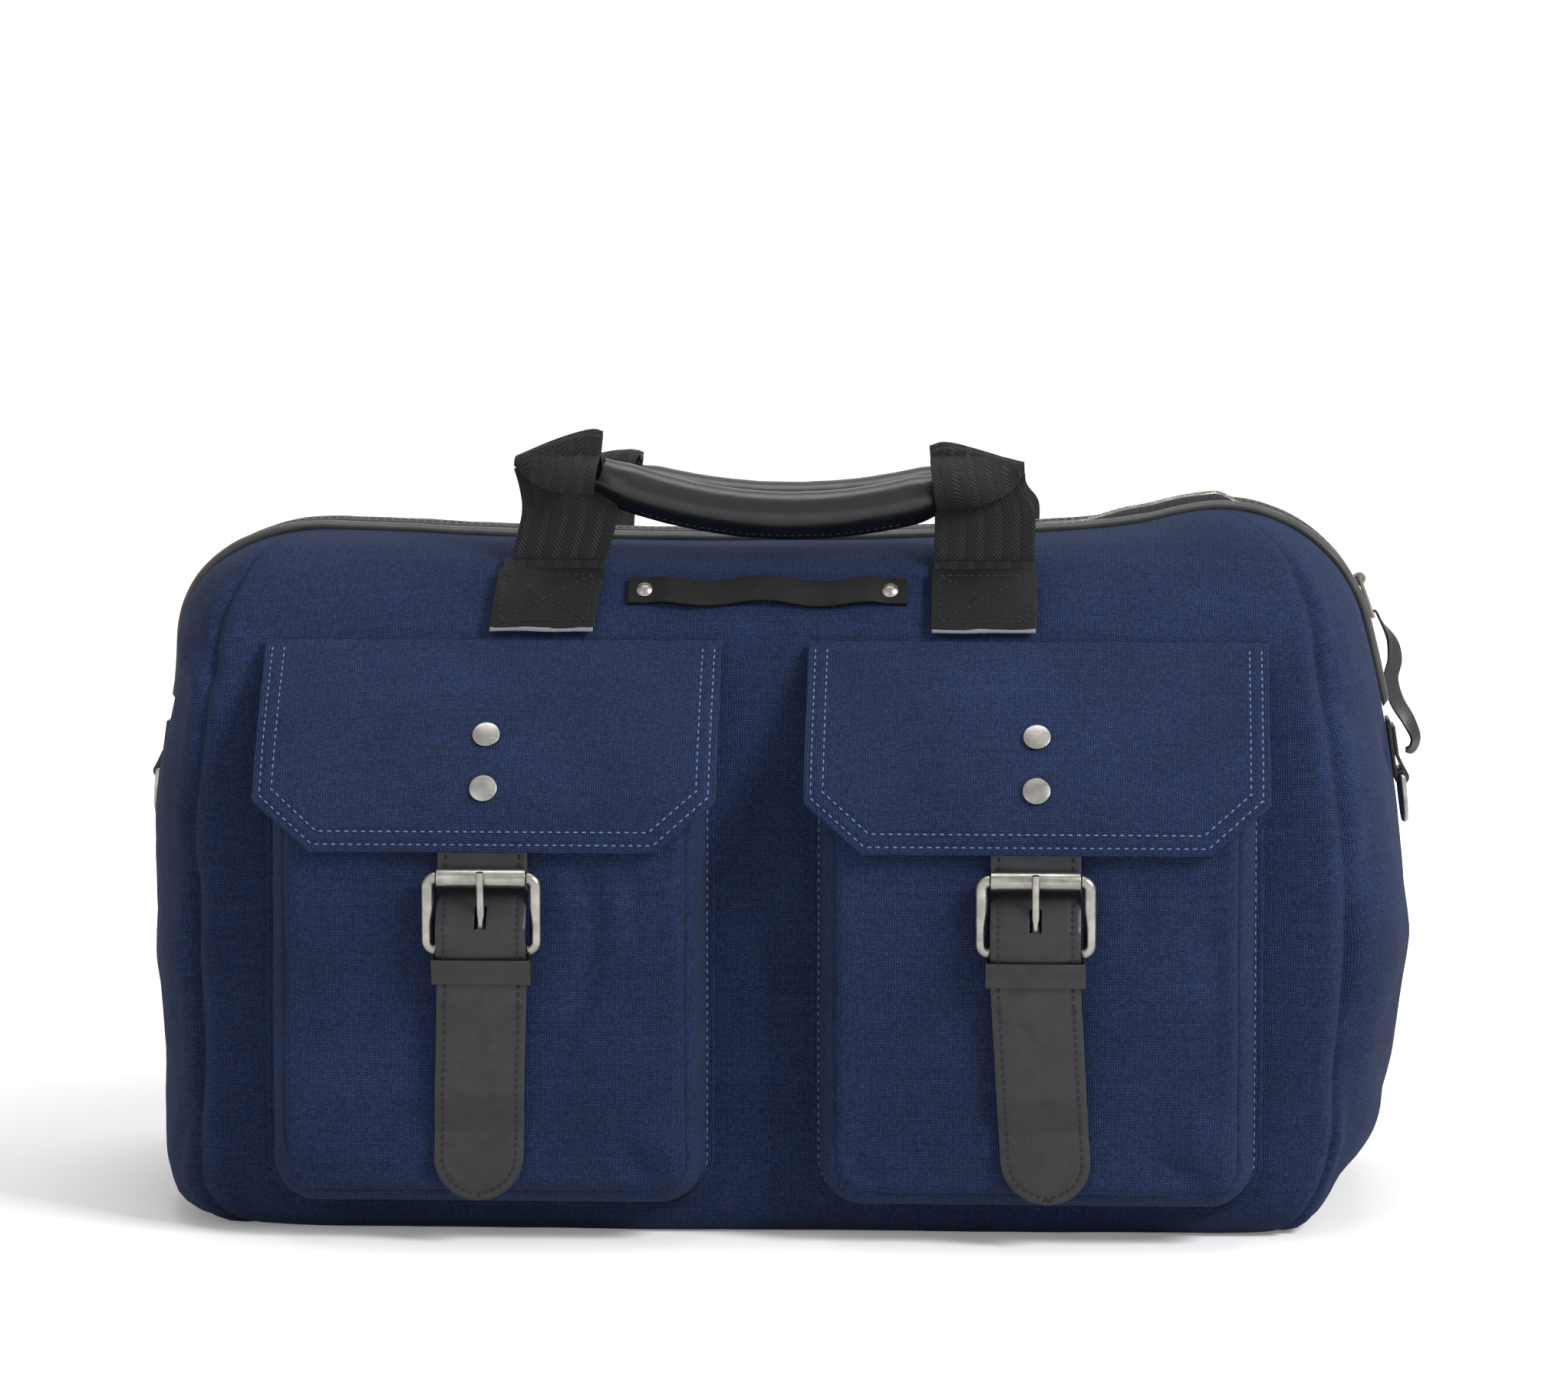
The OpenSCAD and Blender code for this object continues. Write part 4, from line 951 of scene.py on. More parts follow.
def metal_finish(name, colour, rough):
    """Plated metal with fine scratches and dull patches from handling."""
    material, w, shader, place = start_finish(name)
    face = use_group(w, brushed(), {"Place": place})
    shade = w.blend(w.fit(face["Cloud"], 0.35, 0.7), rgba(colour, 0.72), rgba(colour, 1.1))
    w.put(shader.inputs["Base Color"], shade)
    shader.inputs["Metallic"].default_value = 1.0
    w.put(shader.inputs["Roughness"], w.fit(face["Height"], 0.2, 0.8, rough - 0.1, rough + 0.14))
    bump(w, shader, face["Height"], 0.00004, 0.5)
    return material


def thread_finish(name, colour):
    """Twisted thread, also used for cut edges and plain cloth."""
    material, w, shader, place = start_finish(name)
    twist = w.noise(place, 2600, 2)
    strands = w.blend(w.fit(twist, 0.3, 0.7), rgba(colour, 0.7), rgba(colour, 1.3))
    w.put(shader.inputs["Base Color"], strands)
    w.put(shader.inputs["Roughness"], w.fit(twist, 0, 1, 0.6, 0.75))
    bump(w, shader, twist, 0.0001, 0.6)
    return material


def finishes():
    """All materials by name, made the first time they are asked for."""
    c = bpy.context.scene.bag_colours
    pitch = bpy.context.scene.bag_thread.weave
    makers = {
        "canvas": lambda n: canvas_finish(n, c, pitch),
        # the base's canvas, darkened all over as painted shade under the bag
        "canvas_under": lambda n: canvas_finish(n, c, pitch, 0.85),
        "thread": lambda n: thread_finish(n, c.thread),
        "black_thread": lambda n: thread_finish(n, c.black_thread),
        "strap_leather": lambda n: leather_finish(n, c.strap, 0.4, 0.06, 1500),
        "grip_leather": lambda n: leather_finish(n, c.grip, 0.3, 0.22, 1700),
        "patch_leather": lambda n: leather_finish(n, c.grip, 0.6, 0.0, 1300, 0.4, shine=0.2),
        "raw_edge": lambda n: thread_finish(n, c.raw_edge),
        "trim_leather": lambda n: leather_finish(n, c.trim, 0.5, 0.1, 1100),
        "webbing": lambda n: webbing_finish(n, c.webbing, 0.0017, 0.0072),
        "tape": lambda n: webbing_finish(n, c.webbing, 0.0011, 0.0036),
        "nickel": lambda n: metal_finish(n, c.nickel, 0.3),
        "zip_metal": lambda n: metal_finish(n, c.zip_metal, 0.34),
        "lining": lambda n: thread_finish(n, c.lining),
    }

    def find(name):
        full = "bag_" + name
        return bpy.data.materials.get(full) or makers[name](full)

    return find


def paint(node, finish):
    """Gives a CAD node a finish."""
    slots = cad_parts[node].material_slots
    for slot in slots:
        slot.material = finish
    if not slots:
        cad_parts[node].data.materials.append(finish)


# ---------------------------------------------------------------- the pieces


FRONT_FOLDS = [
    # a line of (x, z) places, its width and its height, for the left and the right of the front
    ([(-243, 236), (-232, 228), (-222, 214), (-214, 196)], 5, 1.6),
    ([(-236, 240), (-224, 230), (-216, 216)], 4, -1.8),
    (
        [(-240, 160), (-229, 140), (-233, 110), (-228, 84), (-230, 60), (-236, 34), (-238, 12)],
        4.5, -2.6,
    ),
    ([(226, 244), (219, 230), (224, 212), (238, 204), (244, 182)], 5, -2.4),
    (
        [
            (242, 172), (239, 156), (231, 122), (231, 108), (236, 80), (234, 64), (239, 34),
            (232, 12),
        ],
        5, -3.2,
    ),
    ([(246, 150), (243, 120), (246, 92), (244, 60)], 9, 2.4),
    ([(-246, 150), (-243, 120), (-246, 92), (-244, 60)], 8, 1.8),
    ([(-10, 250), (4, 226), (-2, 200)], 9, -0.8),
    ([(8, 60), (2, 110), (6, 160)], 8, -0.5),
]
END_FOLDS = [
    # a line of (y, z) places on an end, its width and its height
    ([(-70, 210), (-50, 190), (-20, 182), (20, 186)], 8, -2.2),
    ([(-84, 60), (-40, 44), (10, 50), (60, 38)], 10, -2.4),
    ([(-60, 120), (-20, 104), (30, 112), (70, 96)], 12, 1.8),
    ([(40, 200), (56, 160), (60, 120)], 8, -1.8),
]
BACK_FOLDS = [
    ([(-180, 230), (-120, 205), (-40, 200)], 9, -1.8),
    ([(60, 190), (130, 205), (190, 235)], 9, -1.8),
    ([(-150, 60), (-60, 48), (60, 52), (150, 40)], 12, -2.0),
    ([(-90, 150), (0, 132), (110, 146)], 14, 1.6),
]


def covered(shape, x, z):
    """1 where a pocket, flap, handle or the band lies on the front, fading to 0 beside them."""
    s = shape.s
    side = abs(abs(x) - s.pocket_x)
    pocket = 1 - ease(side, s.flap_w / 2, s.flap_w / 2 + 7)
    pocket *= 1 - ease(z, shape.flap_top, shape.flap_top + 7)
    pocket *= ease(z, s.foot - 10, s.foot - 4)
    handle = (1 - ease(abs(abs(x) - s.handle_x), 22, 29)) * ease(z, 228, 236)
    band_z = s.height - s.band_drop
    band = (1 - ease(abs(x), 58, 64)) * ease(z, band_z - 12, band_z - 7)
    return max(pocket, handle, band)


def under_front(shape, p):
    """The end panels' edges go 1 mm under the front's and the back's."""
    seam = shape.wall(shape.seam_c, min(1, max(0, p.z / shape.s.height)))
    return ease(abs(p.y), abs(seam.y) - 2, abs(seam.y) + 1)


def seam_groove(shape, p):
    """The hollow along an end seam, with the cloth puffed up on both its sides."""
    seam = shape.wall(shape.seam_c, min(1, max(0, p.z / shape.s.height)))
    away = hypot(abs(p.x) - seam.x, abs(p.y) + seam.y if seam.y < 0 else abs(p.y) - seam.y)
    return -2.2 * exp(-((away / 2.4) ** 2)) + 0.9 * exp(-(((away - 7) / 4.5) ** 2))


def body_depth(shape, p):
    """How far the canvas stands off its plain shell at a place on it, in mm."""
    s = shape.s
    x, y, z = p
    front = y < 0
    soft = 1.3 * ripple(p, 70, 3) + 0.5 * ripple(p, 26, 8) + 0.16 * ripple(p, 9, 5)
    near_end = ease(abs(x), 150, 245)
    depth = soft * (0.35 + 1.1 * near_end) - 0.6 * near_end
    if front:
        depth += sum(ridge(x, z, *fold) for fold in FRONT_FOLDS)
        depth += dent(x, z, (252, 6), (26, 34), 12) + dent(x, z, (-256, 2), (14, 20), 6)
        depth += dent(x, z, (262, 205), (16, 26), 3) + dent(x, z, (-262, 205), (14, 24), 3)
    else:
        depth += (1 - near_end) * sum(ridge(x, z, *fold) for fold in BACK_FOLDS)
        depth += dent(x, z, (-252, 6), (22, 30), 9) + dent(x, z, (254, 6), (22, 30), 8)
    depth += seam_groove(shape, p) * ease(abs(x), 200, 215)
    flip = 1 if x > 0 else -1
    depth += ease(abs(x), 236, 250) * sum(ridge(flip * y, z, *fold) for fold in END_FOLDS)
    top = ease(z, s.height - 26, s.height - 8)
    depth *= 1 - top
    zip_strip = (1 - ease(abs(y), 24, 34)) * ease(z, s.end_z - 14, s.end_z)
    tab = (1 - ease(abs(y), 13, 20)) * ease(z, 138, 146)
    depth = min(depth, 0) if max(zip_strip, tab) > 0.5 else depth
    depth *= 1 - max(zip_strip, tab)
    if front:
        hidden = covered(shape, x, z)
        depth = depth * (1 - hidden) + min(0, 0.2 * depth) * hidden
    return depth


def canvas_place(shape, rows):
    """place(u, v) for the front panel, whose last rows run in to the zip's slot."""
    s = shape.s
    count = len(rows) - 1

    def place(u, v):
        k = round(v * (count + 2))
        level = rows[min(k, count)]
        top = None if k <= count else s.ridge_half - (s.ridge_half - s.slot_half) * (k - count) / 2
        w = abs(2 * u - 1)
        c = 2 - w / 0.9 if w < 0.9 else 1 - (1 - shape.seam_c) * (w - 0.9) / 0.1
        p = shape.wall(c, level, top)
        return Vector((p.x if u > 0.5 else -p.x, -p.y, p.z))

    return place


def end_place(shape, rows):
    """place(u, v) for the right end panel, from its front seam round to its back seam."""
    count = len(rows) - 1
    edge = 0.17
    tuck = 0.03

    def place(u, v):
        level = rows[round(v * count)]
        w = abs(2 * u - 1)
        slot = shape.slot_c(level)
        if w < edge:
            c = slot * w / edge
        else:
            c = slot + (shape.seam_c + tuck - slot) * (w - edge) / (1 - edge)
        p = shape.wall(c, level)
        return Vector((p.x, -p.y if u < 0.5 else p.y, p.z))

    return place


def build_canvas(shape, find):
    """The front, back, ends and base of the body, and the lining inside them."""
    s = shape.s
    middle = (0, 0, 120)
    rows = shape.rows(104)
    front = canvas_place(shape, rows)
    for name, place in (("front", front), ("back", turned_round(front))):
        bm = patch(176, 106, place, inside=middle)
        swell(bm, lambda p: body_depth(shape, p), shape.settled)
        keep_off_floor(bm)
        add_piece(
            f"canvas_{name}", bm, find("canvas"), "root", [f"{name}_panel"],
            wall=s.cloth_t,
        )
    end = end_place(shape, shape.rows(96))
    for side, place in (("left", turned_round(end)), ("right", end)):
        bm = patch(72, 96, place, keep=beside_slot(s), inside=middle)
        swell(bm, lambda p: body_depth(shape, p) - under_front(shape, p), shape.settled)
        keep_off_floor(bm)
        add_piece(
            f"canvas_end_{side}", bm, find("canvas"), "root", [f"end_panel_{side}"],
            wall=s.cloth_t,
        )
    build_lining(shape, find)
    outline = base_outline(shape, 96)
    bm = bmesh.new()
    bmesh.ops.create_circle(bm, cap_ends=True, segments=96, radius=1)
    bm.verts.ensure_lookup_table()
    for vert, place in zip(bm.verts, outline):
        vert.co = place * MM
    uv = bm.loops.layers.uv.new("cloth")
    for face in bm.faces:
        for loop in face.loops:
            loop[uv].uv = loop.vert.co.xy
    point_outwards(bm, Vector((0, 0, 0.1)))
    # the base gets the canvas darkened as painted shade
    add_piece(
        "canvas_base", bm, find("canvas_under"), "root", ["base_panel"], wall=s.cloth_t
    )


def build_lining(shape, find):
    """The lining follows the canvas on its inner side."""
    s = shape.s
    rows = shape.rows(60)
    room = s.cloth_t + 0.8

    def inwards(p):
        return body_depth(shape, p) - room

    front, end = canvas_place(shape, rows), end_place(shape, rows)
    for name, columns, place in (
        ("front", 96, front),
        ("back", 96, turned_round(front)),
        ("right", 40, end),
        ("left", 40, turned_round(end)),
    ):
        bm = patch(
            columns, len(rows) + (1 if columns > 50 else -1), place,
            keep=beside_slot(s), inside=(0, 0, 120),
        )
        swell(bm, inwards, shape.settled)
        keep_off_floor(bm)
        stands_for = ["lining"] if name == "front" else ()
        add_piece(f"lining_{name}", bm, find("lining"), "root", stands_for)


def base_outline(shape, count):
    """Places round the foot of the shell, a little inside it."""
    found = []
    for k in range(count):
        a = 360 * k / count
        c = abs(((a + 90) % 180) - 90) / 90
        quarter = shape.wall(min(1, c), 0)
        x = quarter.x * (1 if cosd(a) >= 0 else -1)
        y = quarter.y * (1 if sind(a) >= 0 else -1)
        if c > 0.98:
            x = 0
        found.append(Vector((x * 0.99, y * 0.985, 0.4)))
    return found


def turned_back(p):
    """A place turned half round the bag's upright middle line."""
    return Vector((-p.x, -p.y, p.z))


def turned_round(place):
    """The same surface on the bag's other side."""
    return lambda u, v: turned_back(place(u, v))


def beside_slot(s):
    """keep(place) for cloth that leaves the zip's slot free."""
    return lambda p: abs(p.y) > s.slot_half - 0.4 or p.z < s.end_z - 8


def keep_off_floor(bm):
    """Lifts what has sunk below the floor back onto it."""
    for vert in bm.verts:
        vert.co.z = max(vert.co.z, 0.0002)


# folds of the pockets, each a line of (x, z) places from the pocket's middle, its width and height
LEFT_POCKET_FOLDS = [
    ([(38, 152), (44, 128), (41, 104), (36, 88)], 5, -3.0),
    ([(54, 154), (59, 138), (57, 116)], 4, -2.0),
    ([(30, 150), (33, 122)], 4, 1.2),
    ([(48, 44), (60, 32), (71, 22)], 5, -2.8),
    ([(58, 48), (70, 38), (80, 34)], 5, 1.2),
    ([(-60, 24), (-72, 30), (-80, 42)], 4, -2.2),
    ([(-74, 120), (-70, 90), (-74, 60)], 6, -1.2),
]
RIGHT_POCKET_FOLDS = [
    ([(42, 38), (56, 30), (70, 21)], 5, -3.4),
    ([(-58, 22), (-68, 30), (-77, 42)], 4, -2.4),
    ([(52, 60), (66, 44), (78, 36)], 7, 1.4),
    ([(34, 154), (40, 132), (38, 112)], 5, -1.3),
    ([(66, 130), (72, 100), (70, 70)], 6, -1.5),
]


def build_pockets(shape, find):
    """The pockets' faces and gussets, with the row of stitches round them."""
    s = shape.s
    half = s.pocket_w / 2
    shoulder = [s.shoulder * (1 - cosd(90 * k / 9) ** 0.87) for k in range(10)]
    side = [-s.flange, -s.flange / 2] + shoulder
    across = [half - d for d in side]
    inner = half - s.shoulder
    middle = [-inner + 2 * inner * k / 52 for k in range(1, 52)]
    xs = [-x for x in across] + middle + across[::-1]
    mouth = shape.drape(0.4)[1]
    low = [s.foot + d for d in side]
    zs = low + [low[-1] + (mouth - low[-1]) * k / 60 for k in range(1, 61)]
    seam = s.shoulder * 0.62
    for name, sign in SIDES:
        centre = sign * s.pocket_x
        folds = LEFT_POCKET_FOLDS if sign < 0 else RIGHT_POCKET_FOLDS

        def place(u, v):
            p = shape.pocket_point(xs[round(u * (len(xs) - 1))], zs[round(v * (len(zs) - 1))])
            return p + Vector((centre, 0, 0))

        def depth(p):
            x, z = p.x - centre, p.z
            inside = shape.pocket_inside(x, z)
            soft = 0.9 * ripple(p, 48, 4 + sign) + 0.35 * ripple(p, 17, 6 + sign)
            crumple = soft + sum(ridge(x, z, *fold) for fold in folds)
            strap = 1 - ease(abs(x), 20, 30)
            crumple = crumple * (1 - strap) + min(0, crumple) * strap
            pull = -0.9 * exp(-((inside - seam) ** 2) / 3)
            pull += 0.5 * exp(-((inside - seam - 4) ** 2) / 9)
            flat = ease(inside, 0, 6)
            under = 1 - ease(z, shape.flap_low - 4, shape.flap_low + 8)
            return (crumple * under + pull) * flat - 0.5 * exp(-(inside**2) / 1.2)

        def face_only(p):
            return shape.pocket_inside(p.x - centre, p.z) > seam

        def on_cloth(p):
            return shape.pocket_inside(p.x - centre, p.z) > 0.12 - s.flange

        for part, keep, node in (
            ("face", face_only, "pocket_"),
            ("gusset", lambda p: not face_only(p) and on_cloth(p), "pocket_gusset_"),
        ):
            bm = patch(len(xs) - 1, len(zs) - 1, place, inside=(centre, 0, 80))
            swell(bm, depth)
            gone = [f for f in bm.faces if not keep(f.calc_center_median() / MM)]
            bmesh.ops.delete(bm, geom=gone, context="FACES")
            add_piece(
                f"pocket_{part}_{name}", bm, find("canvas"), "root", [node + name],
                wall=POCKET_WALL,
            )
        corner = [
            (half - s.corner * (1 - cosd(a)), s.foot + s.corner * (1 - sind(a)))
            for a in range(0, 91, 10)
        ]
        run = [(half, mouth - 4)] + corner
        run = dense(run + [(-x, z) for x, z in reversed(run)])
        line, normals = [], []
        for x, z in run:
            p, n = shape.front_point(x + centre, z, 1.15)
            line.append(p)
            normals.append(n)
        bm = bmesh.new()
        sew(bm, line, normals, s.pitch, s.long, s.wide)
        add_piece(f"stitches_pocket_{name}", bm, find("thread"), "root")


def build_flaps(shape, find):
    """The flaps, each cut from a flat sheet with two cut corners and sewn twice round."""
    s = shape.s
    steps = zip(shape.drape_rows, shape.drape_rows[1:])
    flap_long = sum(hypot(b[0] - a[0], b[1] - a[1]) for a, b in steps)
    for name, sign in SIDES:
        centre = sign * s.pocket_x

        def place(u, v):
            z = shape.flap_low + (shape.flap_top - shape.flap_low) * v
            p, _ = shape.flap_point((2 * u - 1) * shape.flap_half(z), z)
            return p + Vector((centre, 0, 0))

        def depth(p):
            x = p.x - centre
            edge = shape.flap_edge(x, p.z)
            outer, inner = HEM_ROWS
            groove = -0.45 * exp(-((edge - outer) ** 2) / 0.9)
            groove -= 0.4 * exp(-((edge - inner) ** 2) / 0.9)
            puff = 0.3 * exp(-((edge - 5.2) ** 2) / 2)
            soft = 0.6 * ripple(p, 45, 11 + sign) + 0.2 * ripple(p, 16, 7 + sign)
            return groove + puff + soft * ease(edge, 0, 12) * ease(shape.flap_top - p.z, 0, 12)

        bm = patch(132, 76, place, inside=(centre, 0, 120))
        swell(bm, depth)
        cloth = add_piece(
            f"flap_cloth_{name}", bm, find("canvas"), f"flap_{name}", [f"flap_{name}"],
            wall=s.cloth_t - 0.1, rounding=0.5,
        )
        bm = bmesh.new()
        for inset in HEM_ROWS:
            line, normals = [], []
            for x, z in dense(shape.flap_hem(inset)):
                p, n = shape.flap_point(x + centre, z)
                line.append(p + (depth(p) + 0.12) * n)
                normals.append(n)
            sew(bm, line, normals, s.pitch, s.long, s.wide)
        rows_sewn = add_piece(f"stitches_flap_{name}", bm, find("thread"), f"flap_{name}")
        softened(f"flap_rivets_{name}", find("nickel"), f"flap_{name}", 0.25)


def build_straps(shape, find):
    """The straps with their stitches, and the buckles, keepers and studs on them."""
    s = shape.s
    half = s.strap_w / 2
    for name, sign in SIDES:
        centre = sign * s.pocket_x
        top = shape.flap_low + 14

        def level(v):
            tip_share, flat_tip = 0.16, 0.08
            if v < tip_share:
                return s.tip + flat_tip + (half - flat_tip) * (1 - cosd(90 * v / tip_share))
            return s.tip + half + (top - s.tip - half) * (v - tip_share) / (1 - tip_share)

        def place(u, v):
            z = level(v)
            across = 2 * u - 1
            p = shape.strap_point(sign, across, z)
            if z > shape.flap_low:
                p.y = shape.drape_at_z(z) + 0.2
            return p + Vector((centre, 0, 0))

        def hole(p):
            return abs(p.x - centre) < 2.3 and s.heel + 8.4 < p.z < s.heel + 17.8

        def depth(p):
            x, z = p.x - centre - shape.strap_lean(sign, p.z), p.z
            edge = half - abs(x) if z > s.tip + half else half - hypot(x, z - s.tip - half)
            groove = -0.35 * exp(-((edge - STRAP_ROW) ** 2) / 0.5)
            roll = -0.45 * exp(-edge / 0.9)
            soft = 0.28 * ripple(p, 15, 9 + sign) + 0.12 * ripple(p, 6, 2 + sign)
            folds = ridge(x, z, [(-9, 92), (0, 80), (14, 76)], 2.2, -0.5)
            folds += ridge(x, z, [(-4, 84), (6, 88), (13, 84)], 1.6, 0.35)
            folds += ridge(x, z, [(-14, 62), (-2, 56), (10, 58)], 2.0, -0.35)
            return groove + roll + soft + folds

        bm = patch(30, 130, place, keep=lambda p: not hole(p), inside=(centre, 0, 90))
        swell(bm, depth)
        add_piece(
            f"strap_leather_{name}", bm, find("strap_leather"), f"flap_{name}",
            [f"strap_{name}"], wall=s.strap_t - 0.2, rounding=0.45,
        )
        inset = half - STRAP_ROW
        arc = [
            (inset * sind(a), s.tip + half - inset * cosd(a)) for a in range(-90, 91, 6)
        ]
        run = dense([(-inset, shape.flap_low - 0.5)] + arc + [(inset, shape.flap_low - 0.5)], 1.0)
        bm = bmesh.new()
        line, normals = [], []
        for x, z in run:
            p = shape.strap_point(sign, x / half, max(z, s.tip + half))
            p.x, p.z = x + shape.strap_lean(sign, z), z
            p.y = shape.face_y - shape.strap_out(z) - s.strap_t + 0.15
            line.append(p + Vector((centre, 0, 0)))
            ahead, behind = shape.strap_out(z + 1), shape.strap_out(z - 1)
            normals.append(Vector((0, -1, (behind - ahead) / 2)).normalized())
        sew(bm, line, normals, LEATHER_PITCH, LEATHER_LONG, s.fine * BROAD)
        for x in (-1, 1):
            z = s.keeper - 9
            tack = []
            for k in range(3):
                px = x * (half - 0.4 - 4.2 * k / 2) + shape.strap_lean(sign, z)
                tack.append(Vector((px + centre, shape.face_y - shape.strap_out(z) - s.strap_t, z)))
            sew(bm, tack, [Vector((0, -1, 0))] * 3, 2.1, 2.0, s.fine)
        add_piece(
            f"stitches_strap_{name}", bm, find("black_thread"), f"flap_{name}"
        )
        softened(f"keeper_{name}", find("strap_leather"), f"flap_{name}", 0.45)

        def narrowed(p):
            low = 1 - ease(p.z, s.keeper - 6, s.keeper + 2)
            return Vector((centre + (p.x - centre) * (1 - 0.14 * low), p.y, p.z))

        softened(
            f"buckle_tab_{name}", find("strap_leather"), f"flap_{name}", 0.4,
            narrowed,
        )
        softened(f"buckle_frame_{name}", find("nickel"), f"flap_{name}", 0)
        softened(f"buckle_roller_{name}", find("nickel"), f"roller_{name}", 0.3)
        softened(f"buckle_prong_{name}", find("nickel"), f"prong_{name}", 0.5)
        paint(f"stud_socket_{name}", find("nickel"))
        paint(f"press_stud_{name}", find("nickel"))


# the hanging strip on the pull as (x, z) places, from the pull down
STRIP_ROUTE = [
    (-0.2, 0.3), (1.8, 0.1), (4.2, -4.5), (8.5, -12), (9.5, -20), (8, -28), (10.5, -37),
    (15.5, -45), (18.5, -52), (17, -57), (14, -57.5),
]


def build_zip(shape, find):
    """The zip's bindings, tapes, teeth, stops, slider and pull, all along the chain's line."""
    s = shape.s
    end = shape.chain_left + 4
    inner = s.slot_half + 2 - s.trim_w
    low = s.tape_t / 2 + 0.2
    profile = [
        (inner + 0.6, low - 0.5), (inner - 0.1, low + 0.5), (inner + 0.1, low + 1.5),
        (inner + 0.9, low + s.trim_t - 0.2), (inner + 2.4, low + s.trim_t - 0.5),
        (inner + 4.5, low + s.trim_t + 0.1), (inner + 8, low + s.trim_t + 0.25),
        (inner + 11, low + s.trim_t - 0.1), (inner + s.trim_w - 0.4, low + s.trim_t - 0.9),
        (inner + s.trim_w + 0.1, low + 0.6), (inner + s.trim_w - 0.6, low - 0.8),
    ]
    for name, flip in FACES:

        def place(u, v):
            run = (2 * u - 1) * end
            y, out = profile[round(v * (len(profile) - 1))]
            wave = 0.35 * ripple((run, 0, 0), 34, 3 + flip) * (y - inner) / s.trim_w
            tuck = ease(abs(2 * u - 1), 0.992, 1.0)
            out = out * (1 - 0.8 * tuck) + 0.25 * ripple((run, y, 0), 12, 5)
            return shape.chain_point(run, flip * (y + wave), out)

        bm = patch(300, len(profile) - 1, place, inside=(0, flip * 15, 100))
        add_piece(
            f"binding_{name}", bm, find("trim_leather"), "root",
            [f"zip_trim_{name}"],
        )

        def tape(u, v):
            run = (2 * u - 1) * (end - 2)
            y = s.slot_half - 0.3 - (s.slot_half - 4.5) * v
            x, z, _ = shape.chain(run, s.tape_t / 2 + 0.12 * sind(y * 240))
            return shape.arched(Vector((x, flip * y, z)))

        bm = patch(220, 12, tape, inside=(0, flip * 15, 100))
        add_piece(
            f"tape_{name}", bm, find("tape"), "root", [f"zip_tape_{name}"],
            wall=s.tape_t,
        )
        bm = bmesh.new()
        line, normals = [], []
        for k in range(300):
            run = (2 * k / 299 - 1) * (end - 4)
            _, _, angle = shape.chain(run)
            line.append(shape.chain_point(run, flip * (inner + 2.4), low + s.trim_t - 0.25))
            normals.append(Vector((cosd(angle), 0, sind(angle))))
        sew(bm, line, normals, s.pitch, s.long, s.fine)
        add_piece(f"stitches_binding_{name}", bm, find("black_thread"), "root")
        softened(f"zip_teeth_{name}", find("zip_metal"), "root", 0, shape.arched)
    softened("zip_stops", find("zip_metal"), "root", 0, shape.settled)
    softened("zip_slider", find("zip_metal"), "slider", 0.25)
    softened("zip_pull", find("zip_metal"), "pull", 0.3)
    build_strip(shape, find)


def build_strip(shape, find):
    """The leather strip on the pull turns its broad side to the front as it hangs."""
    low_corner, high_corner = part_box("zip_pull_strap")
    route = [Vector((x, 0, z)) for x, z in STRIP_ROUTE]
    left = min(p.x for p in route) - 0.6
    top = max(p.z for p in route) + 0.6
    move = Vector((low_corner.x / MM - left, 0, high_corner.z / MM - top))
    route = [p + move for p in route]
    steps = 72
    smooth = curve_through(route, steps)

    def place(u, v):
        k = round(u * steps)
        p = smooth[k]
        ahead = (smooth[min(steps, k + 1)] - smooth[max(0, k - 1)]).normalized()
        twist = 72 * ease(u, 0.08, 0.4) - 40 * ease(u, 0.6, 0.95)
        side = Matrix.Rotation(radians(twist), 3, ahead) @ Vector((0, 1, 0))
        wide = (2.1 if u < 0.05 else 2.1 + 1.0 * ease(u, 0.05, 0.12)) * (1 - 0.5 * ease(u, 0.97, 1))
        return p + side * wide * (2 * v - 1)

    bm = patch(steps, 6, place)
    add_piece(
        "pull_strip", bm, find("strap_leather"), "pull", ["zip_pull_strap"],
        wall=STRIP_WALL, rounding=0.25,
    )


def curve_through(points, steps):
    """Evenly spaced places on a smooth curve through points."""
    ends = [2 * points[0] - points[1]] + points + [2 * points[-1] - points[-2]]
    fine = []
    for k in range(1, len(ends) - 2):
        a, b, c, d = ends[k - 1 : k + 3]
        for j in range(12):
            t = j / 12
            squared = (2 * a - 5 * b + 4 * c - d) * t * t
            cubed = (3 * b - a - 3 * c + d) * t**3
            fine.append(0.5 * (2 * b + (c - a) * t + squared + cubed))
    fine.append(points[-1])
    run = [0]
    for a, b in zip(fine, fine[1:]):
        run.append(run[-1] + (b - a).length)
    found = []
    for k in range(steps + 1):
        at = run[-1] * k / steps
        i = min(len(fine) - 2, max(0, bisect_left(run, at) - 1))
        f = (at - run[i]) / max(1e-9, run[i + 1] - run[i])
        found.append(fine[i].lerp(fine[i + 1], f))
    return found


def handle_frames(shape):
    """Where each handle's own frame lies: its origin is the fold of its webbing."""
    s = shape.s
    fold, _ = shape.front_point(s.handle_x, s.height - s.handle_drop, GAP + s.web_t / 2)
    at = Matrix.Translation(Vector((0, fold.y, fold.z)))
    lean = at @ Matrix.Rotation(radians(s.rear_lean), 4, "X")
    return {"front": at, "back": Matrix.Rotation(pi, 4, "Z") @ lean}


def moved(bm, matrix):
    """Moves a mesh in metres by a matrix in mm."""
    shift = matrix.copy()
    shift.translation = matrix.translation * MM
    bmesh.ops.transform(bm, matrix=shift, verts=bm.verts)
    return bm


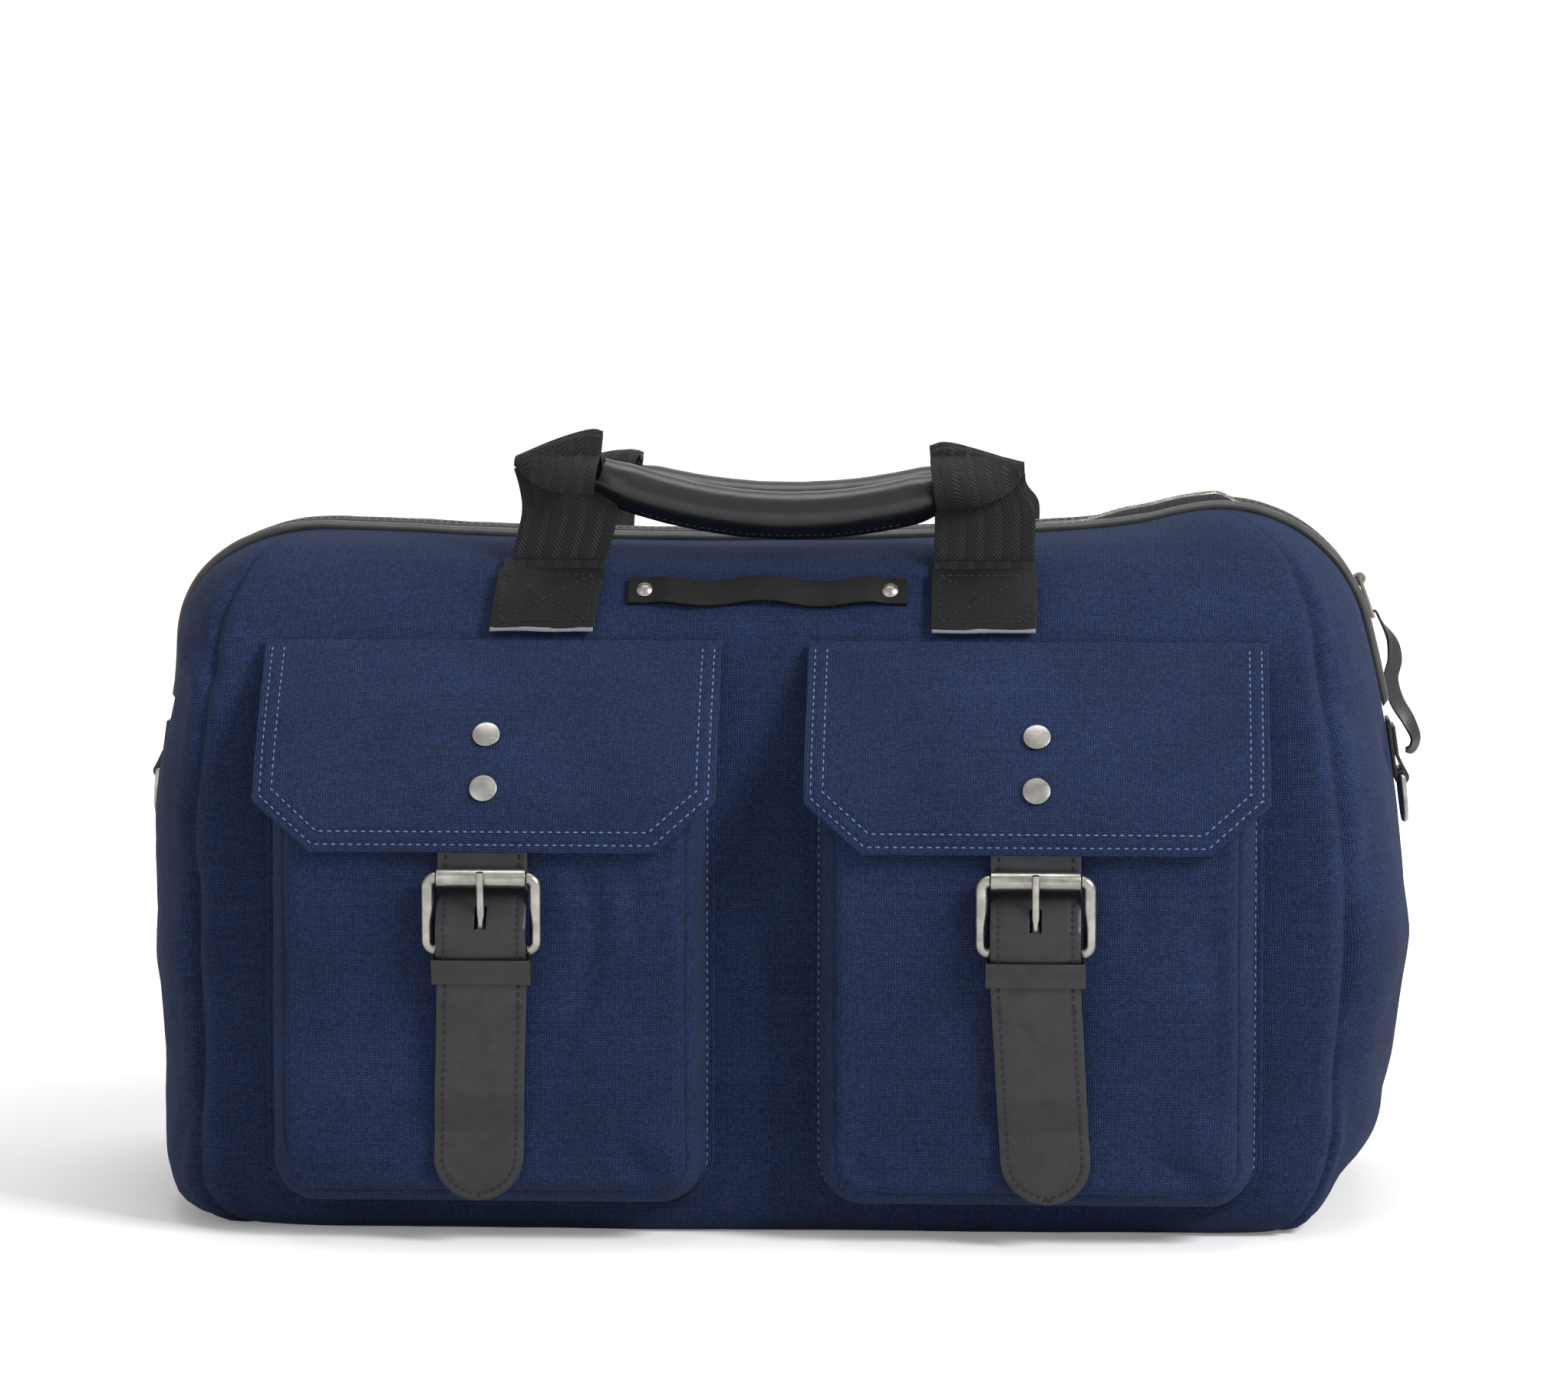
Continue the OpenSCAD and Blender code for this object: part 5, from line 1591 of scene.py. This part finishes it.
# the webbing's two edges and the fold's lower and upper edge, as (x, z) in the handle's frame
EARS = {
    "left": (
        [(-103, -0.5), (-100.5, 10), (-98, 20.7), (-99.5, 30), (-102, 38)],
        [(-65, -0.5), (-62, 10), (-59.5, 20.7), (-61, 28), (-64, 36)],
        [(-102.4, 39), (-93.5, 30.2), (-80.7, 27.2), (-67.5, 27)],
        [(-103, 41), (-84, 49.2), (-70, 53.2), (-65.5, 51.5)],
    ),
    "right": (
        [(105.3, -0.5), (106, 10), (106, 21), (100, 29), (99.5, 36)],
        [(65.7, -0.5), (66, 10), (66, 20), (66, 28), (65, 36)],
        [(99.8, 34), (97, 28), (84.9, 22.6), (65, 18)],
        [(100.6, 39.4), (88, 43.6), (70, 48.6), (63, 46)],
    ),
}


def along(points, share):
    """The place at a share of a list of evenly counted points, on a smooth line."""
    at = share * (len(points) - 1)
    xs = [(k, p[0]) for k, p in enumerate(points)]
    zs = [(k, p[1]) for k, p in enumerate(points)]
    return Vector((smooth_table(xs, at, 0.4), 0, smooth_table(zs, at, 0.4)))


def build_handles(shape, find):
    """Both handles: webbing folded over the ends of a stitched leather grip."""
    s = shape.s
    inner = s.handle_x - s.web_w / 2
    reach = inner + 3
    grip_r = (inner**2 + s.grip_sag**2) / (2 * s.grip_sag)
    grip_turn = degrees(asin(reach / grip_r))
    centre = Vector((0, 0, s.grip_rise + grip_r))

    def taper(share):
        """How thick the grip is at a share of its length, thinner under the webbing."""
        return 1 - 0.22 * ease(abs(2 * share - 1), 0.8, 1.0)

    for name, frame_at in handle_frames(shape).items():
        body = f"handle_{name}"
        grip_at = frame_at @ Matrix.Rotation(radians(s.grip_tilt if name == "front" else 0), 4, "Y")
        for side, sign in SIDES:
            flip = -1 if name == "back" and side == "left" else 1
            edges = EARS["right" if name == "back" else side]
            outer_edge, inner_edge, low_edge, top_edge = (
                [(flip * x, z) for x, z in edge] for edge in edges
            )
            axis_z = s.grip_rise + s.grip_sag

            def ear(u, v):
                p = along(outer_edge, v).lerp(along(inner_edge, v), u)
                p.y = -s.web_t / 2 - 0.5 * sind(180 * v) + 0.35 * ripple(p, 16, 4 + sign) * v
                return p

            bm = patch(26, 30, ear, inside=(sign * 86, 40, 20))
            moved(bm, frame_at)
            add_piece(
                f"ear_{name}_{side}", bm, find("webbing"), body,
                [f"handle_webbing_{name}"] if sign < 0 else (), wall=s.web_t, rounding=0.4,
            )

            # folded over, the webbing wraps the end of the grip
            def hood(u, v, back=1):
                p = along(low_edge, u).lerp(along(top_edge, u), v)
                off = p.z - axis_z
                wrap = sqrt(max(0, (s.grip_d / 2 + 2.4) ** 2 - off * off)) * ease(u, 0.1, 0.85)
                bulge = 1.6 * sind(180 * v) + 0.4 * ripple(p, 12, 8 + sign)
                near_top = ease(v, 0.9, 1.0)
                p.y = -back * ((s.web_t / 2 + 1.6 + wrap + bulge) * (1 - near_top) - 0.4 * near_top)
                return p

            for face, back in (("hood", 1), ("hood_back", -0.92)):
                bm = patch(30, 30, lambda u, v: hood(u, v, back), inside=(sign * 86, 40 * back, 30))
                moved(bm, frame_at)
                add_piece(
                    f"{face}_{name}_{side}", bm, find("webbing"), body,
                    wall=HOOD_WALL, rounding=0.5,
                )

            def roll(u, v):
                x = sign * (s.handle_x + s.web_w * (u - 0.5) * 0.97)
                r = s.web_t / 2 - 0.05
                return Vector((x, r * cosd(360 * v), r * sind(360 * v)))

            bm = patch(12, 16, roll)
            bmesh.ops.remove_doubles(bm, verts=bm.verts, dist=SAME_PLACE * MM)
            bmesh.ops.holes_fill(bm, edges=[e for e in bm.edges if e.is_boundary], sides=0)
            bmesh.ops.recalc_face_normals(bm, faces=bm.faces)
            moved(bm, frame_at)
            add_piece(f"web_fold_{name}_{side}", bm, find("webbing"), body)

        # the grip is leather rolled round a core, closed by a stitched lip beneath
        def grip(u, v):
            a = grip_turn * (2 * u - 1)
            b = 360 * v
            lip = 2.0 * exp(-(((b - 180) / 11) ** 2))
            skin = 0.14 * ripple((u * 110, 9 * cosd(b), 9 * sind(b)), 7, 6)
            r = (s.grip_d / 2 + lip + skin) * taper(u)
            out = Vector((sind(a), 0, -cosd(a)))
            return centre + out * (grip_r - r * cosd(b)) + Vector((0, r * sind(b), 0))

        bm = patch(110, 28, grip)
        bmesh.ops.remove_doubles(bm, verts=bm.verts, dist=SAME_PLACE * MM)
        bmesh.ops.holes_fill(bm, edges=[e for e in bm.edges if e.is_boundary], sides=0)
        bmesh.ops.recalc_face_normals(bm, faces=bm.faces)
        moved(bm, grip_at)
        add_piece(
            f"grip_{name}", bm, find("grip_leather"), body,
            [f"handle_grip_{name}"],
        )

        bm = bmesh.new()
        for face in (-1, 1):
            line, normals = [], []
            for k in range(101):
                a = (grip_turn - 2.5) * (2 * k / 100 - 1)
                out = Vector((sind(a), 0, -cosd(a)))
                beside = Vector((0, face * 1.7, 0))
                reach_out = grip_r + taper(k / 100) * (s.grip_d / 2 + 0.4)
                line.append(centre + out * reach_out + beside)
                normals.append(Vector((0, face, 0)))
            sew(bm, line, normals, LEATHER_PITCH, LEATHER_LONG, s.fine * BROAD)
        moved(bm, grip_at)
        add_piece(f"stitches_grip_{name}", bm, find("black_thread"), body)
        build_patches(shape, find, name)


def build_patches(shape, find, name):
    """The webbing's feet and the leather patches sewn over them with a crossed box."""
    s = shape.s
    fold_z = s.height - s.handle_drop
    top, low = fold_z - 4.5, fold_z - 4.5 - s.patch_h
    turn_round = turned_back if name == "back" else (lambda p: p)
    lift = GAP + s.web_t
    for side, sign in SIDES:
        tilt = 0.0 if name == "back" or sign > 0 else 0.13

        def on_front(x, z, out):
            shift = tilt * (z - low - s.patch_h)
            p, n = shape.front_point(sign * s.handle_x + x + shift, z, out)
            return turn_round(p), turn_round(n) if name == "back" else n

        def foot(u, v):
            return on_front((u - 0.5) * s.web_w, low + 1 + (fold_z - low - 1) * v, lift)[0]

        inside = (0, 0, 120)
        bm = patch(20, 14, foot, inside=inside)
        add_piece(
            f"web_foot_{name}_{side}", bm, find("webbing"), "root",
            [f"handle_base_{name}"] if sign < 0 else (), wall=s.web_t - 0.1, rounding=0.3,
        )

        def leather(u, v):
            x, z = (u - 0.5) * (s.web_w + 2), low + s.patch_h * v
            edge = min(u, 1 - u) * (s.web_w + 2)
            rise = lift + 0.3 + s.patch_t
            rise += 0.25 * ripple((x, z, 0), 9, 6 + sign) - 0.25 * exp(-edge / 1.5)
            return on_front(x, z + 0.4 * ripple((x, 0, 0), 14, 3 + sign), rise)[0]

        bm = patch(42, 24, leather, inside=inside)
        add_piece(
            f"patch_{name}_{side}", bm, find("patch_leather"), "root",
            [f"handle_patch_{name}"] if sign < 0 else (), wall=s.patch_t, rounding=0.35,
        )

        def cut_edge(u, v):
            x = (u - 0.5) * (s.web_w + 1)
            wave = 0.4 * ripple((x, 0, 0), 14, 3 + sign)
            out = lift + 0.2 + s.patch_t * (0.2 + 0.8 * v)
            return on_front(x, low + wave - 0.9 + 1.1 * v, out)[0]

        bm = patch(40, 3, cut_edge, inside=inside)
        add_piece(
            f"patch_edge_{name}_{side}", bm, find("raw_edge"), "root",
            wall=EDGE_WALL,
        )
        half_w, z0, z1 = s.web_w / 2 - 2.6, low + 2.8, top - 2.6
        box = [(-half_w, z0), (half_w, z0), (half_w, z1), (-half_w, z1), (-half_w, z0)]
        bm = bmesh.new()
        for run in (box, [box[0], box[2]], [box[1], box[3]]):
            line, normals = [], []
            for x, z in dense(run, 1.0):
                p, n = on_front(x, z, lift + 0.3 + s.patch_t + 0.05)
                line.append(p)
                normals.append(n)
            sew(bm, line, normals, 2.9, 2.0, s.fine)
        add_piece(f"stitches_patch_{name}_{side}", bm, find("black_thread"), "root")


def build_band(shape, find):
    """The leather band under the front handle, and the rings at the ends."""
    s = shape.s
    z_mid = s.height - s.band_drop
    rivet_x = 48.7

    def place(u, v):
        x = (u - 0.5) * s.band_l
        near = ease(s.band_l / 2 - abs(x), 6, 16)
        up = near * (cosd(x * 7.2 + 20) - 0.6)
        bow = near * (1.1 + 0.9 * cosd(x * 9.5))
        p, n = shape.front_point(rivet_x, z_mid, GAP + s.band_t + bow * 0.8)
        flat = Vector((0, 0, 1)) - n * n.z
        flat.normalize()
        lift_edge = 0.2 * exp(-min(v, 1 - v) * s.band_w / 1.2)
        return Vector((x, p.y, p.z)) + flat * ((v - 0.5) * s.band_w + up) - n * lift_edge

    bm = patch(110, 14, place, inside=(0, 0, 120))
    add_piece(
        "band", bm, find("patch_leather"), "root", ["name_band"],
        wall=s.band_t, rounding=0.35,
    )
    softened("band_rivets", find("nickel"), "root", 0.2)
    for side, _ in SIDES:
        softened(f"ring_tab_{side}", find("strap_leather"), "root", 0.4)
        softened(f"d_ring_{side}", find("nickel"), f"ring_{side}", 0)


# ---------------------------------------------------------------- the stage


STUDIO_LIGHT = 0.42  # strength of the even light on the bag


def lamp(name, place, aim, size, watts):
    """A soft rectangular lamp at a place, turned to what it lights."""
    data = bpy.data.lights.new(name, "AREA")
    data.shape, data.size, data.size_y = "RECTANGLE", size[0], size[1]
    data.energy = watts
    lamp_object = bpy.data.objects.new(name, data)
    lamp_object.location = place
    lamp_object.rotation_euler = (Vector(aim) - Vector(place)).to_track_quat("-Z", "Y").to_euler()
    bpy.context.scene.collection.objects.link(lamp_object)


def floor_finish():
    """Matte and pale near the bag, plain white to the camera further off."""
    material = bpy.data.materials.new("floor")
    material.use_nodes = True
    w = Wires(material.node_tree)
    material.node_tree.nodes.clear()
    matte = w.add("ShaderNodeBsdfDiffuse", {"Color": (0.9, 0.9, 0.9, 1)}).outputs[0]
    place = w.add("ShaderNodeTexCoord").outputs["Object"]
    reach = w.add("ShaderNodeVectorMath", {"Vector": place}, operation="LENGTH").outputs["Value"]
    strength = w.fit(reach, 0.35, 1.1, 0.18, 1.0)
    glow = w.add("ShaderNodeEmission", {"Color": (1, 1, 1, 1), "Strength": strength}).outputs[0]
    path = w.add("ShaderNodeLightPath").outputs
    add = w.add("ShaderNodeAddShader")
    w.put(add.inputs[0], matte)
    w.put(add.inputs[1], glow)
    mix = w.add("ShaderNodeMixShader")
    w.put(mix.inputs[0], w.math("MAXIMUM", path["Is Camera Ray"], path["Is Glossy Ray"]))
    w.put(mix.inputs[1], matte)
    w.put(mix.inputs[2], add.outputs[0])
    out = w.add("ShaderNodeOutputMaterial")
    w.put(out.inputs["Surface"], mix.outputs[0])
    return material


def build_stage():
    """The floor, the studio light and the camera at the photograph's angle."""
    scene = bpy.context.scene
    scene.view_settings.view_transform = "Standard"
    bm = bmesh.new()
    bmesh.ops.create_grid(bm, x_segments=1, y_segments=1, size=6)
    mesh = bpy.data.meshes.new("floor")
    bm.to_mesh(mesh)
    bm.free()
    mesh.materials.append(floor_finish())
    floor = bpy.data.objects.new("floor", mesh)
    scene.collection.objects.link(floor)
    world = bpy.data.worlds.new("studio")
    world.use_nodes = True
    w = Wires(world.node_tree)
    world.node_tree.nodes.clear()
    path = w.add("ShaderNodeLightPath").outputs
    mirrored = w.math("MAXIMUM", path["Is Glossy Ray"], path["Is Transmission Ray"])
    seen = w.math("MAXIMUM", path["Is Camera Ray"], mirrored)
    strength = w.fit(seen, 0, 1, STUDIO_LIGHT, 1.0)
    back = w.add("ShaderNodeBackground", {"Color": (1, 1, 1, 1), "Strength": strength})
    out = w.add("ShaderNodeOutputWorld")
    w.put(out.inputs["Surface"], back.outputs[0])
    scene.world = world
    lamp("key", (1.9, -1.4, 1.7), (0, 0, 0.15), (0.9, 0.9), 68)
    lamp("fill", (-1.4, -2.3, 1.0), (0, 0, 0.15), (1.4, 1.4), 8)
    lamp("top", (0, 0.2, 2.4), (0, 0, 0.2), (1.6, 1.0), 24)

    az, el, reach = radians(3), radians(5), 2.5
    target = Vector((0.002, 0, 0.205))
    back_way = Vector((sin(az) * cos(el), -cos(az) * cos(el), sin(el)))
    data = bpy.data.cameras.new("camera")
    data.sensor_width, data.lens = 36, 139.5
    camera = bpy.data.objects.new("camera", data)
    camera.location = target + back_way * reach
    camera.rotation_euler = (-back_way).to_track_quat("-Z", "Y").to_euler()
    scene.collection.objects.link(camera)
    scene.camera = camera


# ---------------------------------------------------------------- the add-on


class BagOperator:
    """What every operator of the bag has in common"""

    bl_options = {"REGISTER", "UNDO"}


class BAG_OT_canvas(BagOperator, Operator):
    """Sews the canvas body: front, back, ends and base"""

    bl_idname = "bag.canvas"
    bl_label = "Canvas body"

    def execute(self, context):
        build_canvas(Shape(), finishes())
        return {"FINISHED"}


class BAG_OT_pockets(BagOperator, Operator):
    """Puts the puffed pockets and their stitching on the front"""

    bl_idname = "bag.pockets"
    bl_label = "Pockets"

    def execute(self, context):
        build_pockets(Shape(), finishes())
        return {"FINISHED"}


class BAG_OT_flaps(BagOperator, Operator):
    """Drapes the stitched flaps over the pockets"""

    bl_idname = "bag.flaps"
    bl_label = "Flaps"

    def execute(self, context):
        build_flaps(Shape(), finishes())
        return {"FINISHED"}


class BAG_OT_straps(BagOperator, Operator):
    """Adds the straps with their buckles, keepers and studs"""

    bl_idname = "bag.straps"
    bl_label = "Straps and buckles"

    def execute(self, context):
        build_straps(Shape(), finishes())
        return {"FINISHED"}


class BAG_OT_zip(BagOperator, Operator):
    """Lays the zip with its bindings, slider and pull over the top"""

    bl_idname = "bag.zip"
    bl_label = "Zip"

    def execute(self, context):
        build_zip(Shape(), finishes())
        return {"FINISHED"}


class BAG_OT_handles(BagOperator, Operator):
    """Builds both handles with their grips, webbing and patches"""

    bl_idname = "bag.handles"
    bl_label = "Handles"

    def execute(self, context):
        build_handles(Shape(), finishes())
        return {"FINISHED"}


class BAG_OT_band(BagOperator, Operator):
    """Rivets the leather band to the front and hangs the end rings"""

    bl_idname = "bag.band"
    bl_label = "Band and rings"

    def execute(self, context):
        build_band(Shape(), finishes())
        return {"FINISHED"}


class BAG_OT_inside(BagOperator, Operator):
    """Gives the base board its cloth"""

    bl_idname = "bag.inside"
    bl_label = "Board"

    def execute(self, context):
        find = finishes()
        paint("base_board", find("lining"))
        return {"FINISHED"}


class BAG_OT_stage(BagOperator, Operator):
    """Sets the floor, the studio light and the camera"""

    bl_idname = "bag.stage"
    bl_label = "Stage"

    def execute(self, context):
        build_stage()
        return {"FINISHED"}


class BAG_PT_panel(Panel):
    """Lists the bag's pieces"""

    bl_label = "Weekender Bag"
    bl_idname = "BAG_PT_panel"
    bl_space_type = "VIEW_3D"
    bl_region_type = "UI"
    bl_category = "Bag"

    def draw(self, context):
        layout = self.layout
        for key, group in GROUPS.items():
            box = layout.box()
            box.label(text=key.replace("bag_", "").capitalize())
            for name in group.__annotations__:
                box.prop(getattr(context.scene, key), name)
        for operator in OPERATORS:
            layout.operator(operator.bl_idname)


OPERATORS = (
    BAG_OT_canvas,
    BAG_OT_pockets,
    BAG_OT_flaps,
    BAG_OT_straps,
    BAG_OT_zip,
    BAG_OT_handles,
    BAG_OT_band,
    BAG_OT_inside,
    BAG_OT_stage,
)


def register():
    for cls in (*GROUPS.values(), *OPERATORS, BAG_PT_panel):
        bpy.utils.register_class(cls)
    for key, group in GROUPS.items():
        setattr(bpy.types.Scene, key, PointerProperty(type=group))


def unregister():
    for key in GROUPS:
        delattr(bpy.types.Scene, key)
    for cls in (BAG_PT_panel, *reversed(OPERATORS), *reversed(list(GROUPS.values()))):
        bpy.utils.unregister_class(cls)


def main():
    register()
    for operator in OPERATORS:
        group, name = operator.bl_idname.split(".")
        getattr(getattr(bpy.ops, group), name)()


if __name__ == "__main__":
    main()
